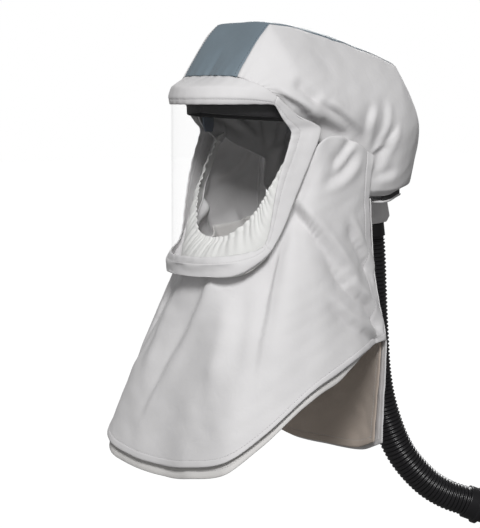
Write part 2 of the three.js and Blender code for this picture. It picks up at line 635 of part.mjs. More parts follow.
function rimHeight(turn, rim) {
  const angle = Math.abs(turn > 180 ? turn - 360 : turn);
  const above = HEADBAND_RIMS.findIndex((row) => angle <= row.angle);
  const [low, high] = [HEADBAND_RIMS[Math.max(above, 1) - 1], HEADBAND_RIMS[Math.max(above, 1)]];
  return THREE.MathUtils.mapLinear(angle, low.angle, high.angle, low[rim], high[rim]);
}
function headbandSurface(a, b) {
  const turn = ((a % 360) + 360) % 360;
  const angle = THREE.MathUtils.degToRad(turn);
  const x = (HEADBAND_HALF_WIDTH + HEADBAND_WALL) * Math.sin(angle);
  const y = -(HEADBAND_HALF_LENGTH + HEADBAND_WALL) * Math.cos(angle);
  const z = THREE.MathUtils.lerp(rimHeight(turn, 'low'), rimHeight(turn, 'high'), b / SHEET_UNIT);
  return new THREE.Vector3(x, y, z);
}
add('headband', sheet(headbandSurface, [0, 360], [0, SHEET_UNIT], STEPS.headband, HEADBAND_WALL, 1, true),
  HEADBAND);

// Each tab leans out from the band to the inside of the cheek panel.
function addTab(name, side) {
  const surface = (a, b) => {
    const p = vec(TAB_TOP).lerp(vec(TAB_FOOT), b / SHEET_UNIT);
    p.y += a;
    p.x += a * TAB_SLANT;
    return side > 0 ? p : mirrored(p);
  };
  const across = [-TAB_WIDTH / 2, TAB_WIDTH / 2];
  add(name, sheet(surface, across, [0, SHEET_UNIT], STEPS.tab, TAB_WALL, -side), TAB);
}
addTab('temple_tab_left', 1);
addTab('temple_tab_right', -1);

// Hose with its sleeve, cuff and connector

// Ring-shaped piece turned from a profile, with its top at a point and its length along a direction.
function turned(profile, top, direction, sides) {
  const inside = profile.map((row) => new THREE.Vector2(row.bore, -row.down));
  const outside = profile.map((row) => new THREE.Vector2(row.radius, -row.down));
  const outline = [...inside, ...outside.reverse(), inside[0].clone()];
  const down = new THREE.Vector3(0, 0, -1);
  const geometry = new THREE.LatheGeometry(outline, sides);
  geometry.rotateX(Math.PI / 2);
  geometry.applyQuaternion(new THREE.Quaternion().setFromUnitVectors(down, direction));
  geometry.translate(top.x, top.y, top.z);
  return geometry;
}
const hoseTop = vec(HOSE_TOP);
const hosePath = new THREE.CatmullRomCurve3([hoseTop, ...HOSE_RUN.map(vec)]);
const cuffDepth = CUFF_PROFILE[CUFF_PROFILE.length - 1].down + SEAM_GAP;
const cuffWay = hosePath.getTangentAt(0);
const cuffTop = hoseTop.clone().addScaledVector(cuffWay, -cuffDepth);
const sleeveTop = vec(SLEEVE_TOP);
const sleeveWay = cuffTop.clone().sub(sleeveTop).normalize();
const connectorWay = hosePath.getTangentAt(1);
const connectorTop = hosePath.getPointAt(1).addScaledVector(connectorWay, SEAM_GAP);

const ring = new THREE.Shape();
for (let i = 0; i < HOSE_SIDES; i += 1) {
  const turn = (i / HOSE_SIDES) * 2 * Math.PI;
  const [x, y] = [(HOSE_DIAMETER / 2) * Math.cos(turn), (HOSE_DIAMETER / 2) * Math.sin(turn)];
  if (i === 0) {
    ring.moveTo(x, y);
  } else {
    ring.lineTo(x, y);
  }
}
ring.closePath();

add('hose_sleeve', turned(SLEEVE_PROFILE, sleeveTop, sleeveWay, SLEEVE_SIDES), FABRIC);
add('hose_cuff', turned(CUFF_PROFILE, cuffTop, cuffWay, SLEEVE_SIDES), HOSE);
add('breathing_hose', new THREE.ExtrudeGeometry(ring, { steps: HOSE_STEPS, extrudePath: hosePath }), HOSE);
add('hose_connector', turned(CONNECTOR_PROFILE, connectorTop, connectorWay, CONNECTOR_SIDES), HOSE);

export default hood;
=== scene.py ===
"""Powered air respirator hood: its cloth, visor, headband and hose, in a plain pale studio.

Sizes are in millimetres, as in the part's source, and meshes are made in metres.
"""
import math

import bpy
import numpy as np
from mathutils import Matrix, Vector


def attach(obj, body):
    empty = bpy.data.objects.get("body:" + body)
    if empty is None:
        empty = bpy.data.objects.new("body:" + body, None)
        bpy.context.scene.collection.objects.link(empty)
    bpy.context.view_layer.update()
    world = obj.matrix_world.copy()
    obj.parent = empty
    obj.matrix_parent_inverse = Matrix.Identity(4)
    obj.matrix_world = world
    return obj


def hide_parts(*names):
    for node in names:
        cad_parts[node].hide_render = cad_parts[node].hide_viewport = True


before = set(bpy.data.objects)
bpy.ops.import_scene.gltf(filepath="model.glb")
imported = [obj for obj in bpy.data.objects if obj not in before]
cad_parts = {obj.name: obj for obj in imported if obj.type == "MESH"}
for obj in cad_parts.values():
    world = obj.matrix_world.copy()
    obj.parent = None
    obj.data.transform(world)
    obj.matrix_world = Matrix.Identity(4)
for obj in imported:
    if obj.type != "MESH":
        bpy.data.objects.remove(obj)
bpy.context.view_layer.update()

MM = 0.001
BODY = "root"

# Driving sizes

CLOTH = 1.5
SEAM_GAP = 0.3

VISOR_RADIUS = 84
VISOR_CENTRE_Y = -32
VISOR_SHEET = 1
VISOR_MARGIN = 6
VISOR_JAW_TURN = 2
VISOR_CORNER_RISE = 4
VISOR_FOOT_SLACK = 4
WINDOW_RADIUS = VISOR_RADIUS + SEAM_GAP + CLOTH

CROWN_START = 1.2
BROW_REACH = 40
BROW_TUCK = 2.4
STRIP_END = 0.34
HEM_TRIM = 4

BIB_LINING_TOP = 2.2
FLAP_LINING_TOP = 0.9
LINING_GAP_HEM = 5
LINING_DROP = 11
LINING_START = 0.4
LINING_HEM_INSIDE = 2
FLAP_LINING_SHORT = 3

HEADBAND_HALF_WIDTH = 77
HEADBAND_HALF_LENGTH = 95
HEADBAND_WALL = 2.5
TAB_WIDTH = 18
TAB_WALL = 2.5
TAB_TOP = (80.3, -22, -4)
TAB_FOOT = (83, -18, -33)
TAB_SLANT = 0.2

SEAL_WALL = 1.2
SEAL_GATHERS = 46
SEAL_RUFFLE = 1.0
SEAL_OVERLAP = 4.5

DUCT_BAND_HEIGHT = 6
DUCT_LIP = 2.6
DUCT_BAND_INSET = 0.8
DUCT_BAND_TUCK = 0.6
DUCT_CENTRE_Y = 120
RIM_REACH = 8
FLOOR_INSET = 0.2
FLOOR_GAP = 0.9
FLOOR_FRONT_Y = 108
FLOOR_TAPER = 0.9

HOSE_DIAMETER = 38
HOSE_PITCH = 5
HOSE_RIB = 2.2

HEM_WIDTH = 7
STITCH_PITCH = 3.6
STITCH_LENGTH = 2.3
STITCH_RADIUS = 0.32
FINE = 2.0

# Tables

CROWN_COLUMNS = ("centre", "stripEdge", "shoulder", "widest", "hem")
CROWN_COLUMN_EASE = (1, 0.55, 1, 1, 1)
CROWN_SECTIONS = [
    dict(at="front base", ease=1, centre=(0, -82, 33), stripEdge=(50, -81, 31),
         shoulder=(68, -73, 26), widest=(79, -64, 18), hem=(85, -50, 8)),
    dict(at="front slope", ease=1, centre=(0, -57, 68), stripEdge=(49, -57, 65),
         shoulder=(74, -49, 42), widest=(90, -40, 11), hem=(85.3, -36, -4)),
    dict(at="ridge", ease=0.3, centre=(0, -31, 95), stripEdge=(48, -31, 93),
         shoulder=(77, -22, 55), widest=(98, -16, 8), hem=(87, -17, -17)),
    dict(at="roof", ease=1, centre=(0, 61, 87.5), stripEdge=(48, 61, 78),
         shoulder=(81, 56, 35), widest=(103, 46, -9), hem=(90.5, 31, -44)),
    dict(at="roof end", ease=0.5, centre=(0, 176, 48), stripEdge=(48, 170, 45),
         shoulder=(79, 154, 14), widest=(100, 124, -30), hem=(92.5, 82, -66)),
    dict(at="back", ease=0.9, centre=(0, 213, -22), stripEdge=(48, 204, -22),
         shoulder=(76, 184, -24), widest=(97, 140, -48), hem=(91.5, 80, -84)),
    dict(at="back foot", ease=0.6, centre=(0, 206, -94), stripEdge=(45, 198, -95),
         shoulder=(70, 173, -97), widest=(90, 130, -102), hem=(91.5, 82, -103)),
    dict(at="underside", ease=1, centre=(0, 194, -103), stripEdge=(42, 186, -104),
         shoulder=(62, 161, -106), widest=(81, 126, -110), hem=(86, 86, -110)),
]
STRIP_EDGE_COLUMN = 1
BROW_MATCHES = [("brow centre", 0), ("brow front", STRIP_EDGE_COLUMN), ("brow corner", 2.4),
                ("brow end", 4)]

FRAME_COLUMN_EASE = (1, 1, 0.4, 1)
FRAME_WRAP = 5
FRAME_STATIONS = [
    dict(at="brow centre", ease=1, angle=0, z=0,
         middle=(0, -119, 9), edge=(0, -115.5, 20), end=(0, -82.5, 32.6)),
    dict(at="brow front", ease=1, angle=38, z=0,
         middle=(53.8, -100.5, 9), edge=(52, -97.5, 20), end=(49, -81.5, 30.6)),
    dict(at="brow corner", ease=1, angle=60, z=0,
         middle=(76.5, -76.5, 7), edge=(76, -74, 16), end=(75.5, -67.5, 21.5)),
    dict(at="brow end", ease=0.5, angle=76, z=-1,
         middle=(84.6, -53, 2), edge=(85.4, -51.6, 5.5), end=(85.2, -50.2, 8.4)),
    dict(at="chamfer middle", ease=1, angle=84, z=-17,
         middle=(87.3, -33, -15), edge=(90, -24, -12.5), end=(88.8, -22, -14)),
    dict(at="chamfer foot", ease=0.5, angle=92.5, z=-33,
         middle=(90.5, -12, -30), edge=(96.5, 6, -28), end=(90, 10, -37)),
    dict(at="cheek", ease=1, angle=79.7, z=-89,
         middle=(88.5, -38, -92), edge=(94, -25, -97), end=(86, -20, -97)),
    dict(at="jaw", ease=0.8, angle=68.4, z=-160,
         middle=(83, -63, -164), edge=(85.5, -59, -167), end=(77, -54, -167)),
    dict(at="chin side", ease=1, angle=50, z=-171,
         middle=(69, -92, -182), edge=(66, -95, -195), end=(57, -83, -193)),
    dict(at="chin front", ease=1, angle=19, z=-176,
         middle=(28.5, -114.5, -187), edge=(27, -114, -199), end=(24, -100, -197)),
    dict(at="chin centre", ease=1, angle=0, z=-176,
         middle=(0, -118.5, -187), edge=(0, -118, -199), end=(0, -104, -197)),
]

BIB_COLUMNS = ("top", "upper", "lower", "hem")
BIB_STATIONS = [
    dict(at="middle", drop=1, top=(0, -103.4, -196.6), upper=(0, -113, -262),
         lower=(0, -136, -338), hem=(0, -157, -415)),
    dict(at="beside middle", drop=1, top=(26, -98, -196.6), upper=(44, -112, -260),
         lower=(47, -137, -335), hem=(52, -160, -411)),
    dict(at="front corner", drop=1, top=(58, -76, -194), upper=(84, -99, -256),
         lower=(99, -126, -326), hem=(112, -149, -398)),
    dict(at="beside corner", drop=1, top=(75, -51, -167), upper=(104, -69, -240),
         lower=(121, -90, -304), hem=(135, -112, -369)),
    dict(at="front of side", drop=1, top=(84, -16, -98), upper=(107, -34, -190),
         lower=(129, -44, -262), hem=(149, -55, -325)),
    dict(at="side", drop=0.95, top=(97, 14, -41), upper=(106, 2, -140),
         lower=(128, -4, -230), hem=(149, -9, -304)),
    dict(at="back of side", drop=0.4, top=(100.5, 50, -42), upper=(105, 44, -130),
         lower=(119, 42, -218), hem=(140, 38, -287)),
    dict(at="seam", drop=-0.2, top=(98, 89, -61), upper=(96, 84, -120),
         lower=(97, 92, -205), hem=(110, 99, -279)),
]

FLAP_COLUMNS = ("centre", "quarter", "edge")
FLAP_HEIGHTS = [
    dict(at="top", centre=(0, 109.5, -112.1), quarter=(62, 107.5, -117), edge=(95.5, 86.1, -112)),
    dict(at="nape", centre=(0, 111, -160), quarter=(63, 108, -160), edge=(95.5, 88.8, -157)),
    dict(at="back", centre=(0, 114, -215), quarter=(64, 111, -215), edge=(97.5, 94.2, -212)),
    dict(at="slit", centre=(0, 115, -280), quarter=(66, 113, -280), edge=(108.5, 101.2, -281)),
    dict(at="flap", centre=(0, 111, -350), quarter=(64, 109, -350), edge=(107, 99, -348)),
    dict(at="hem", centre=(0, 108, -421), quarter=(62, 106, -419), edge=(107, 97, -404)),
]

SEAL_COLUMNS = ("outer", "pouch", "elastic")
SEAL_STATIONS = [
    dict(at="temple", outer=(86.5, 8.4, -36.3), pouch=(80, -4, -40), elastic=(72, -14, -46)),
    dict(at="cheek", outer=(84.2, -21.2, -96.4), pouch=(77, -38, -100), elastic=(66, -42, -92)),
    dict(at="jaw", outer=(75.2, -54.6, -164.4), pouch=(66, -64, -152), elastic=(54, -58, -126)),
    dict(at="chin side", outer=(55.4, -80.6, -191.4), pouch=(46, -84, -176), elastic=(32, -72, -149)),
    dict(at="chin front", outer=(23.2, -97.6, -195.3), pouch=(20, -96, -180), elastic=(14, -76, -155)),
    dict(at="chin centre", outer=(0, -101.6, -195.3), pouch=(0, -98, -180), elastic=(0, -77, -156)),
]

HEADBAND_RIMS = [(0, -9, 22), (45, -13, 22), (90, -17, 20), (135, -21, 14), (180, -23, 10)]

HOSE_TOP = (0, 175, -170)
HOSE_RUN = [
    (0.5, 176.5, -195), (1, 178.5, -240), (2.5, 180.5, -289), (5, 183, -338), (10, 187.5, -376),
    (17.5, 198, -416), (27, 211.5, -447), (41.5, 235.5, -478), (55, 258, -495), (69, 280, -505),
]
SLEEVE_TOP = (0, 170, -114.5)
SLEEVE_PROFILE = [(0, 22), (14, 23), (27, 24.5), (32.5, 21.5)]
CUFF_PROFILE = [(0, 18.6), (16, 19.4), (17, 17.4), (20.5, 17.4)]
CONNECTOR_PROFILE = [(0, 21), (14, 21), (14, 23.5), (19, 23.5), (19, 20), (42, 19)]
CONNECTOR_BORE = 15

# Folds: a line of points, a width and a height in mm. A fold is made on both sides, unless it is one_sided.
# A fold with a way in falls is a lap: the cloth drops on that side of the line, then comes back.
CROWN_FOLDS = [
    dict(at="roll", width=7, height=5,
         line=[(90, -30, 10), (97, -16, 0), (98, 8, -15), (99, 35, -29), (96, 66, -46)]),
    dict(at="roll's lower edge", width=9, height=8, one_sided=True, falls=(0, -0.6, -0.8),
         line=[(80, -56, 20), (88, -42, 9), (93, -26, -1), (95, -6, -13), (94, 12, -26)]),
    dict(at="dent over roll", width=8, height=-6.5, one_sided=True,
         line=[(88, -30, 28), (95, -12, 11), (100, 6, -1)]),
    dict(at="lap over roll", width=12, height=8, falls=(-0.4, -0.6, -0.7),
         line=[(98, -6, 6), (102, 18, -4), (103, 42, -18), (101, 62, -34), (97, 78, -52)]),
    dict(at="short crease", width=5, height=2, one_sided=True, falls=(0, 0, -1),
         line=[(100, -2, 0), (99, 10, 5), (97, 24, 11)]),
    dict(at="hollow under roll", width=8, height=-10, one_sided=True,
         line=[(92, -4, -22), (93, 14, -30), (95, 34, -37), (96, 58, -44)]),
    dict(at="first back gather", width=10, height=7, falls=(0, -1, 0),
         line=[(94, 95, 6), (102, 80, -20), (99, 79, -42), (97, 84, -60)]),
    dict(at="second back gather", width=11, height=5.5, falls=(0, -1, 0),
         line=[(88, 118, 10), (100, 108, -20), (98, 98, -46), (96, 88, -62)]),
    dict(at="third back gather", width=12, height=7, falls=(0, -1, -0.2),
         line=[(99, 130, -18), (98, 116, -46), (95, 105, -72), (92, 101, -92)]),
    dict(at="pinch tuck", width=8, height=5, falls=(0, 0, -1),
         line=[(96, 86, -61), (97, 100, -56), (97, 118, -51)]),
    dict(at="back tuck", width=12, height=5.5, falls=(0, 0, 1),
         line=[(93, 92, -89), (95, 112, -86), (92, 134, -82)]),
    dict(at="soft roof fold", width=26, height=1.3, one_sided=True, falls=(0, 1, 0), lip=4,
         line=[(72, 6, 64), (80, 24, 48), (86, 36, 28)]),
]
CAPE_FOLDS = [
    dict(at="valley under cheek", width=26, height=9, falls=(-0.64, -0.77, 0), lip=5, tapers=(0.08, 0.4),
         line=[(80, -34, -130), (86, -48, -167), (93, -64, -202), (102, -81, -241), (109, -96, -276),
               (122, -116, -330)]),
    dict(at="side ridge", width=22, height=5,
         line=[(100, -28, -150), (112, -50, -220), (130, -80, -300), (142, -98, -350)]),
    dict(at="cheek fold", width=17, height=15, falls=(-0.5, -0.6, -0.6), tapers=(0.05, 0.4),
         line=[(74, -30, -100), (84, -21, -118), (95, -16, -131), (105, -4, -148), (114, 24, -181),
               (109, 66, -222)]),
    dict(at="shoulder pleat", width=9, height=10, one_sided=True, falls=(-0.4, -0.6, 0.5),
         line=[(99, 62, -38), (100, 46, -54), (100, 30, -70), (100, 20, -80)]),
    dict(at="shoulder fold", width=13, height=8, falls=(-0.4, -0.6, 0.5),
         line=[(99, 70, -54), (101, 50, -74), (101, 30, -88), (101, 2, -97)]),
    dict(at="seam fold", width=12, height=12, falls=(-0.4, -0.5, -0.7),
         line=[(107, 38, -128), (104, 56, -156), (99, 80, -190), (98, 94, -215)]),
    dict(at="slit fold", width=14, height=13, falls=(-0.4, -0.5, -0.8), tapers=(0.3, 0.12),
         line=[(112, 0, -168), (117, 37, -211), (111, 72, -237), (110, 100, -274)]),
    dict(at="hem fold", width=15, height=9, falls=(-0.3, -0.4, -0.9), tapers=(0.3, 0.12),
         line=[(126, -14, -218), (131, 24, -249), (124, 64, -269), (112, 98, -279)]),
    dict(at="bib valley", width=14, height=-4,
         line=[(60, -74, -195), (71, -94, -234), (81, -106, -266), (96, -124, -320)]),
    dict(at="bib ridge", width=14, height=3.5, line=[(50, -96, -215), (58, -112, -262), (64, -134, -335)]),
    dict(at="pocket lap", width=24, height=12, one_sided=True, falls=(-0.64, -0.77, 0), lip=3.5,
         tapers=(0.04, 0.75), line=[(24, -98, -196), (16, -103, -208), (7, -107, -230), (-5, -111, -254),
                                    (-20, -123, -295), (-44, -146, -360)]),
    dict(at="bib crease", width=9, height=3.5, one_sided=True, falls=(-0.64, -0.77, 0),
         line=[(-12, -112, -262), (-29, -128, -307), (-39, -139, -340), (-52, -150, -380)]),
]
FRAME_FOLDS = [
    dict(at="cheek corner dent", width=7, height=-1.4, line=[(87, -34, -18), (92, -20, -27), (95, -6, -31)]),
    dict(at="pocket crease", width=6, height=4, one_sided=True, falls=(0, 0, -1), tapers=(0.1, 0.1),
         line=[(-70, -92, -185), (-40, -108, -191), (-14, -117, -187), (12, -118, -191), (40, -110, -187),
               (72, -92, -184)]),
    dict(at="brow crease", width=5, height=1.8, one_sided=True, falls=(0, 0, 1),
         line=[(-60, -96, 11), (0, -120, 12), (56, -100, 12), (80, -68, 8)]),
]
LAP_LIP = 1.9
LAP_SWELL = dict(height=0.3, back=0.4, width=0.5)
FOLD_TAPER = 0.3
FOLD_STEPS = 25
SOFTEN_PASSES = 2

# Crumples: waves of a length in mm across a way, over a place that is itself warped
CRUMPLES = [
    dict(way=(0.8, 0.5, 0.33), length=61, phase=0.4, share=0.5),
    dict(way=(-0.3, 0.7, 0.64), length=43, phase=2.1, share=0.4),
    dict(way=(0.55, -0.6, 0.58), length=29, phase=4.4, share=0.28),
    dict(way=(0.1, 0.42, -0.9), length=19, phase=1.3, share=0.18),
]
WARP_REACH = 9
WARP_LENGTH = 21.0
WARP_PHASES = (0.3, 1.7, 2.9)

# Cloth surfaces

TINY = 1e-9
MARK_STEPS = (-1.6, -0.8, 0, 0.8, 1.6)
LEAST_STEP = 0.3
HEM_RISE = 0.5
HEM_FADE = 2
PUCKER_REACH = 9.0
PUCKER_DRIFT = 1.3
PUCKER_DRIFT_LENGTH = 2.7


def points_of(rows, columns):
    return np.array([[row[c] for c in columns] for row in rows], float)


def mirrored(points):
    return points * np.array([-1.0, 1, 1])


def both_sides(rows):
    """Rows whose first point is on the middle, carried over to the mirrored side."""
    return np.concatenate([mirrored(rows[:, :0:-1]), rows], axis=1)


def unit(vectors):
    return vectors / np.maximum(np.linalg.norm(vectors, axis=-1, keepdims=True), TINY)


def run_lengths(points):
    """Length along a line of points, up to each of them."""
    return np.concatenate([[0], np.cumsum(np.linalg.norm(np.diff(points, axis=0), axis=1))])


def on_line(at, run, points):
    """Points on a straight-edged line at lengths along it."""
    return np.stack([np.interp(at, run, points[:, k]) for k in range(3)], axis=-1)


def knots_of(lines):
    steps = np.linalg.norm(np.diff(lines, axis=1), axis=2).mean(axis=0)
    return np.concatenate([[0.0], np.cumsum(steps)])


def curve(points, knots, ease, at):
    """Points on the smooth curve through points at their knots; it runs straight on past either end."""
    at = np.asarray(at, float)
    last = len(knots) - 1
    places = np.arange(last + 1)
    before = np.maximum(places - 1, 0)
    after = np.minimum(places + 1, last)
    wide = (-1,) + (1,) * (points.ndim - 1)
    weight = np.asarray(ease, float) / (knots[after] - knots[before])
    slope = (points[after] - points[before]) * weight.reshape(wide)
    i = np.clip(np.searchsorted(knots, at) - 1, 0, last - 1)
    span = (knots[i + 1] - knots[i]).reshape(wide)
    f = ((at - knots[i]) / (knots[i + 1] - knots[i])).reshape(wide)
    r = 1 - f
    found = points[i] * (1 + 2 * f) * r * r + slope[i] * span * f * r * r
    found += points[i + 1] * f * f * (3 - 2 * f) - slope[i + 1] * span * f * f * r
    low, high = at < knots[0], at > knots[last]
    found[low] = points[0] + slope[0] * (at[low] - knots[0]).reshape(wide)
    found[high] = points[last] + slope[last] * (at[high] - knots[last]).reshape(wide)
    return found


def smooth_line(points, count):
    """Points close together on the smooth curve through a few."""
    points = np.array(points, float)
    knots = run_lengths(points)
    return curve(points, knots, np.ones(len(points)), np.linspace(0, knots[-1], count))


class Net:
    """Smooth surface through a grid of points, measured in millimetres along and across it."""

    def __init__(self, points, row_ease=None, column_ease=None):
        self.points = points
        self.row_ease = np.ones(len(points)) if row_ease is None else row_ease
        self.column_ease = np.ones(points.shape[1]) if column_ease is None else column_ease
        self.along = knots_of(points.transpose(1, 0, 2))
        self.across = knots_of(points)

    def grid(self, a, b):
        spine = curve(self.points.transpose(1, 0, 2), self.across, self.column_ease, b)
        return curve(spine.transpose(1, 0, 2), self.along, self.row_ease, a)


def normals_of(grid, outward):
    """Unit normals of a grid of points, turned outside by the sign outward."""
    return outward * unit(np.cross(np.gradient(grid, axis=0), np.gradient(grid, axis=1)))


def smooth(x, low, high):
    t = np.clip((x - low) / (high - low), 0, 1)
    return t * t * (3 - 2 * t)


def bell(away, height, width):
    return height * np.exp(-(away / width) ** 2)


def softened(lift):
    """Heights with the steps between neighbouring samples evened out, along and then across."""
    for _ in range(2 * SOFTEN_PASSES):
        wide = np.pad(lift, [(1, 1), (0, 0)], mode="edge")
        lift = ((wide[:-2] + 2 * wide[1:-1] + wide[2:]) / 4).T
    return lift


def nearest_on(line, points):
    """How far points are from a line and which way, and the share of its length where they lie."""
    run = run_lengths(line)
    begun = run / run[-1]
    away = np.full(points.shape[:2], np.inf)
    place = np.zeros(away.shape)
    off = np.zeros(points.shape)
    for k, step in enumerate(np.diff(line, axis=0)):
        share = np.clip((points - line[k]) @ step / (step @ step), 0, 1)
        offset = points - (line[k] + share[..., None] * step)
        distance = np.linalg.norm(offset, axis=2)
        nearer = distance < away
        away = np.where(nearer, distance, away)
        place = np.where(nearer, begun[k] + share * (begun[k + 1] - begun[k]), place)
        off = np.where(nearer[..., None], offset, off)
    return away, off, place


def lap_shape(fold, away, off):
    """A swell on the upper side of the line and a drop on the other."""
    width, lip = fold["width"], fold.get("lip", LAP_LIP)
    signed = away * np.sign(off @ np.array(fold["falls"], float))
    drop = np.exp(-np.maximum(signed, 0) / width) / (1 + np.exp(-signed / lip))
    return bell(signed + width * LAP_SWELL["back"], LAP_SWELL["height"], width * LAP_SWELL["width"]) - drop


def fold_lift(folds, grid):
    """How far the folds lift the cloth; each fades out towards both ends of its line."""
    lift = np.zeros(grid.shape[:2])
    for fold in folds:
        points = grid.copy()
        if not fold.get("one_sided"):
            points[..., 0] = np.abs(points[..., 0])
        away, off, place = nearest_on(smooth_line(fold["line"], FOLD_STEPS), points)
        start, end = fold.get("tapers", (FOLD_TAPER, FOLD_TAPER))
        taper = smooth(place, 0, start) * (1 - smooth(place, 1 - end, 1))
        shape = lap_shape(fold, away, off) if "falls" in fold else bell(away, 1, fold["width"])
        lift += fold["height"] * taper * shape
    return softened(lift)


def crumple(grid, height):
    """Small uneven rise and fall of soft cloth."""
    points = grid + WARP_REACH * np.sin(grid[..., [1, 2, 0]] / WARP_LENGTH + np.array(WARP_PHASES))
    lift = np.zeros(grid.shape[:2])
    for wave in CRUMPLES:
        turn = points @ np.array(wave["way"]) * 2 * math.pi / wave["length"] + wave["phase"]
        lift += wave["share"] * np.sin(turn)
    return height * lift


def ticks(start, end, step, marks=()):
    """Sample places from start to end about a step apart, closer together at the marks."""
    count = max(int(round((end - start) / step)), 2)
    places = list(np.linspace(start, end, count + 1))
    for mark in marks:
        places += [mark + d for d in MARK_STEPS if start < mark + d < end]
    places = np.unique(np.round(places, 4))
    keep = np.concatenate([[True], np.diff(places) > LEAST_STEP])
    keep[-1] = True
    return places[keep]


def hem_lift(away):
    """A turned-in hem: a little thicker up to its stitch line, which pulls a groove."""
    rise = HEM_RISE * (1 - smooth(away, HEM_WIDTH, HEM_WIDTH + HEM_FADE))
    return rise - bell(away - HEM_WIDTH, height=0.7, width=0.9)


def pucker(place, away, length, height):
    """Ripples that a stitched edge gathers into the cloth beside it."""
    drift = PUCKER_DRIFT * np.sin(place / (PUCKER_DRIFT_LENGTH * length))
    return height * np.sin(2 * math.pi * place / length + drift) * np.exp(-away / PUCKER_REACH)


# Meshes

STITCH_RINGS = [(-0.5, 0.35), (-0.3, 1.0), (0.3, 1.0), (0.5, 0.35)]
STITCH_SIDES = 5
STITCH_RAISE = 0.35
BORE_DEPTH = 30


def make_object(name, vertices, faces, material, uv=None):
    mesh = bpy.data.meshes.new(name)
    mesh.from_pydata([tuple(v) for v in np.asarray(vertices) * MM], [], [tuple(f) for f in faces])
    if uv is not None:
        layer = mesh.uv_layers.new(name="cloth")
        corners = np.empty(len(mesh.loops), np.int32)
        mesh.loops.foreach_get("vertex_index", corners)
        layer.data.foreach_set("uv", (np.asarray(uv)[corners] * MM).astype(np.float32).ravel())
    mesh.polygons.foreach_set("use_smooth", [True] * len(mesh.polygons))
    mesh.validate()
    mesh.materials.append(material)
    thing = bpy.data.objects.new(name, mesh)
    bpy.context.collection.objects.link(thing)
    return thing


def dress(thing, node):
    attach(thing, BODY)
    if node:
        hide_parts(node)
    return thing


def between(places, at, grid):
    """Line of a grid at a place between its samples."""
    i = np.clip(np.searchsorted(places, at) - 1, 0, len(places) - 2)
    f = (at - places[i]) / (places[i + 1] - places[i])
    return grid[i] * (1 - f) + grid[i + 1] * f


class Cloth:
    """A sheet of cloth or plastic: its outer surface as a grid, with sample places along and across it."""

    def __init__(self, a, b, grid, outward, lift=None):
        self.a, self.b, self.outward = a, b, outward
        self.grid = grid if lift is None else grid + normals_of(grid, outward) * lift[..., None]
        self.normals = normals_of(self.grid, outward)

    def area(self):
        across = np.cross(np.diff(self.grid, axis=0)[:, :-1], np.diff(self.grid, axis=1)[:-1])
        return float(np.linalg.norm(across, axis=2).sum()) * MM * MM

    def row(self, b):
        """Points and normals along the line at b."""
        return [between(self.b, b, g.transpose(1, 0, 2)) for g in (self.grid, self.normals)]

    def column(self, a):
        """Points and normals along the line at a."""
        return [between(self.a, a, g) for g in (self.grid, self.normals)]

    def build(self, name, wall, material):
        """Closed sheet of even wall with a rounded rim."""
        n, m = self.grid.shape[:2]
        outer = self.grid.reshape(-1, 3)
        inner = (self.grid - self.normals * wall).reshape(-1, 3)
        at = np.arange(n * m).reshape(n, m)
        p, q, r, s = at[:-1, :-1], at[1:, :-1], at[1:, 1:], at[:-1, 1:]
        top = np.stack([p, q, r, s], axis=-1).reshape(-1, 4)
        under = top[:, ::-1] + n * m
        loop = np.concatenate([at[:, 0], at[-1, 1:], at[-2::-1, -1], at[0, -2:0:-1]])
        out = np.zeros_like(self.grid)
        d_a, d_b = np.gradient(self.grid, axis=0), np.gradient(self.grid, axis=1)
        out[:, 0] -= unit(d_b[:, 0])
        out[:, -1] += unit(d_b[:, -1])
        out[0] -= unit(d_a[0])
        out[-1] += unit(d_a[-1])
        out = unit(out.reshape(-1, 3)[loop])
        middle = (outer[loop] + inner[loop]) / 2 + out * wall * 0.5
        after = np.roll(loop, -1)
        mid = 2 * n * m + np.arange(len(loop))
        mid_after = np.roll(mid, -1)
        rim_a = np.stack([after, loop, mid, mid_after], axis=-1)
        rim_b = np.stack([mid_after, mid, loop + n * m, after + n * m], axis=-1)
        faces = np.concatenate([top, under, rim_a, rim_b])
        if self.outward < 0:
            faces = faces[:, ::-1]
        places = np.stack(np.meshgrid(self.a, self.b, indexing="ij"), axis=-1).reshape(-1, 2)
        uv = np.concatenate([places, places, places[loop]])
        return make_object(name, np.concatenate([outer, inner, middle]), faces.tolist(), material, uv)


def add_sheet(cloth, node, material, flat, wall=CLOTH):
    piece = dress(cloth.build(node + "_cloth", wall, material), node)
    length, width = flat[0] * MM, flat[1] * MM
    area = min(cloth.area(), length * width)


def ring(centre, side, up, radius, sides):
    """Points of a circle, from side towards up."""
    turns = 2 * math.pi * np.arange(sides) / sides
    return [centre + (side * math.cos(t) + up * math.sin(t)) * radius for t in turns]


def tube_faces(starts, sides):
    """Faces of a closed tube whose rings of points begin at these places in the mesh."""
    faces = []
    for low, high in zip(starts[:-1], starts[1:]):
        for k in range(sides):
            k2 = (k + 1) % sides
            faces.append((low + k, low + k2, high + k2, high + k))
    faces.append(tuple(starts[0] + k for k in reversed(range(sides))))
    faces.append(tuple(starts[-1] + k for k in range(sides)))
    return faces


def stitch_row(name, lines, material):
    """Short raised stitches along lines of points with normals, as one mesh."""
    vertices, faces = [], []
    for points, normals in lines:
        run = run_lengths(points)
        for middle in np.arange(STITCH_PITCH, run[-1] - STITCH_PITCH, STITCH_PITCH):
            here, ahead = on_line(middle, run, points), on_line(middle + 1, run, points)
            up = on_line(middle, run, normals)
            way = unit(ahead - here)
            starts = []
            for share, swell in STITCH_RINGS:
                centre = here + way * share * STITCH_LENGTH + up * STITCH_RADIUS * STITCH_RAISE
                starts.append(len(vertices))
                vertices += ring(centre, np.cross(way, up), up, STITCH_RADIUS * swell, STITCH_SIDES)
            faces += tube_faces(starts, STITCH_SIDES)
    return dress(make_object(name, vertices, faces, material), None)


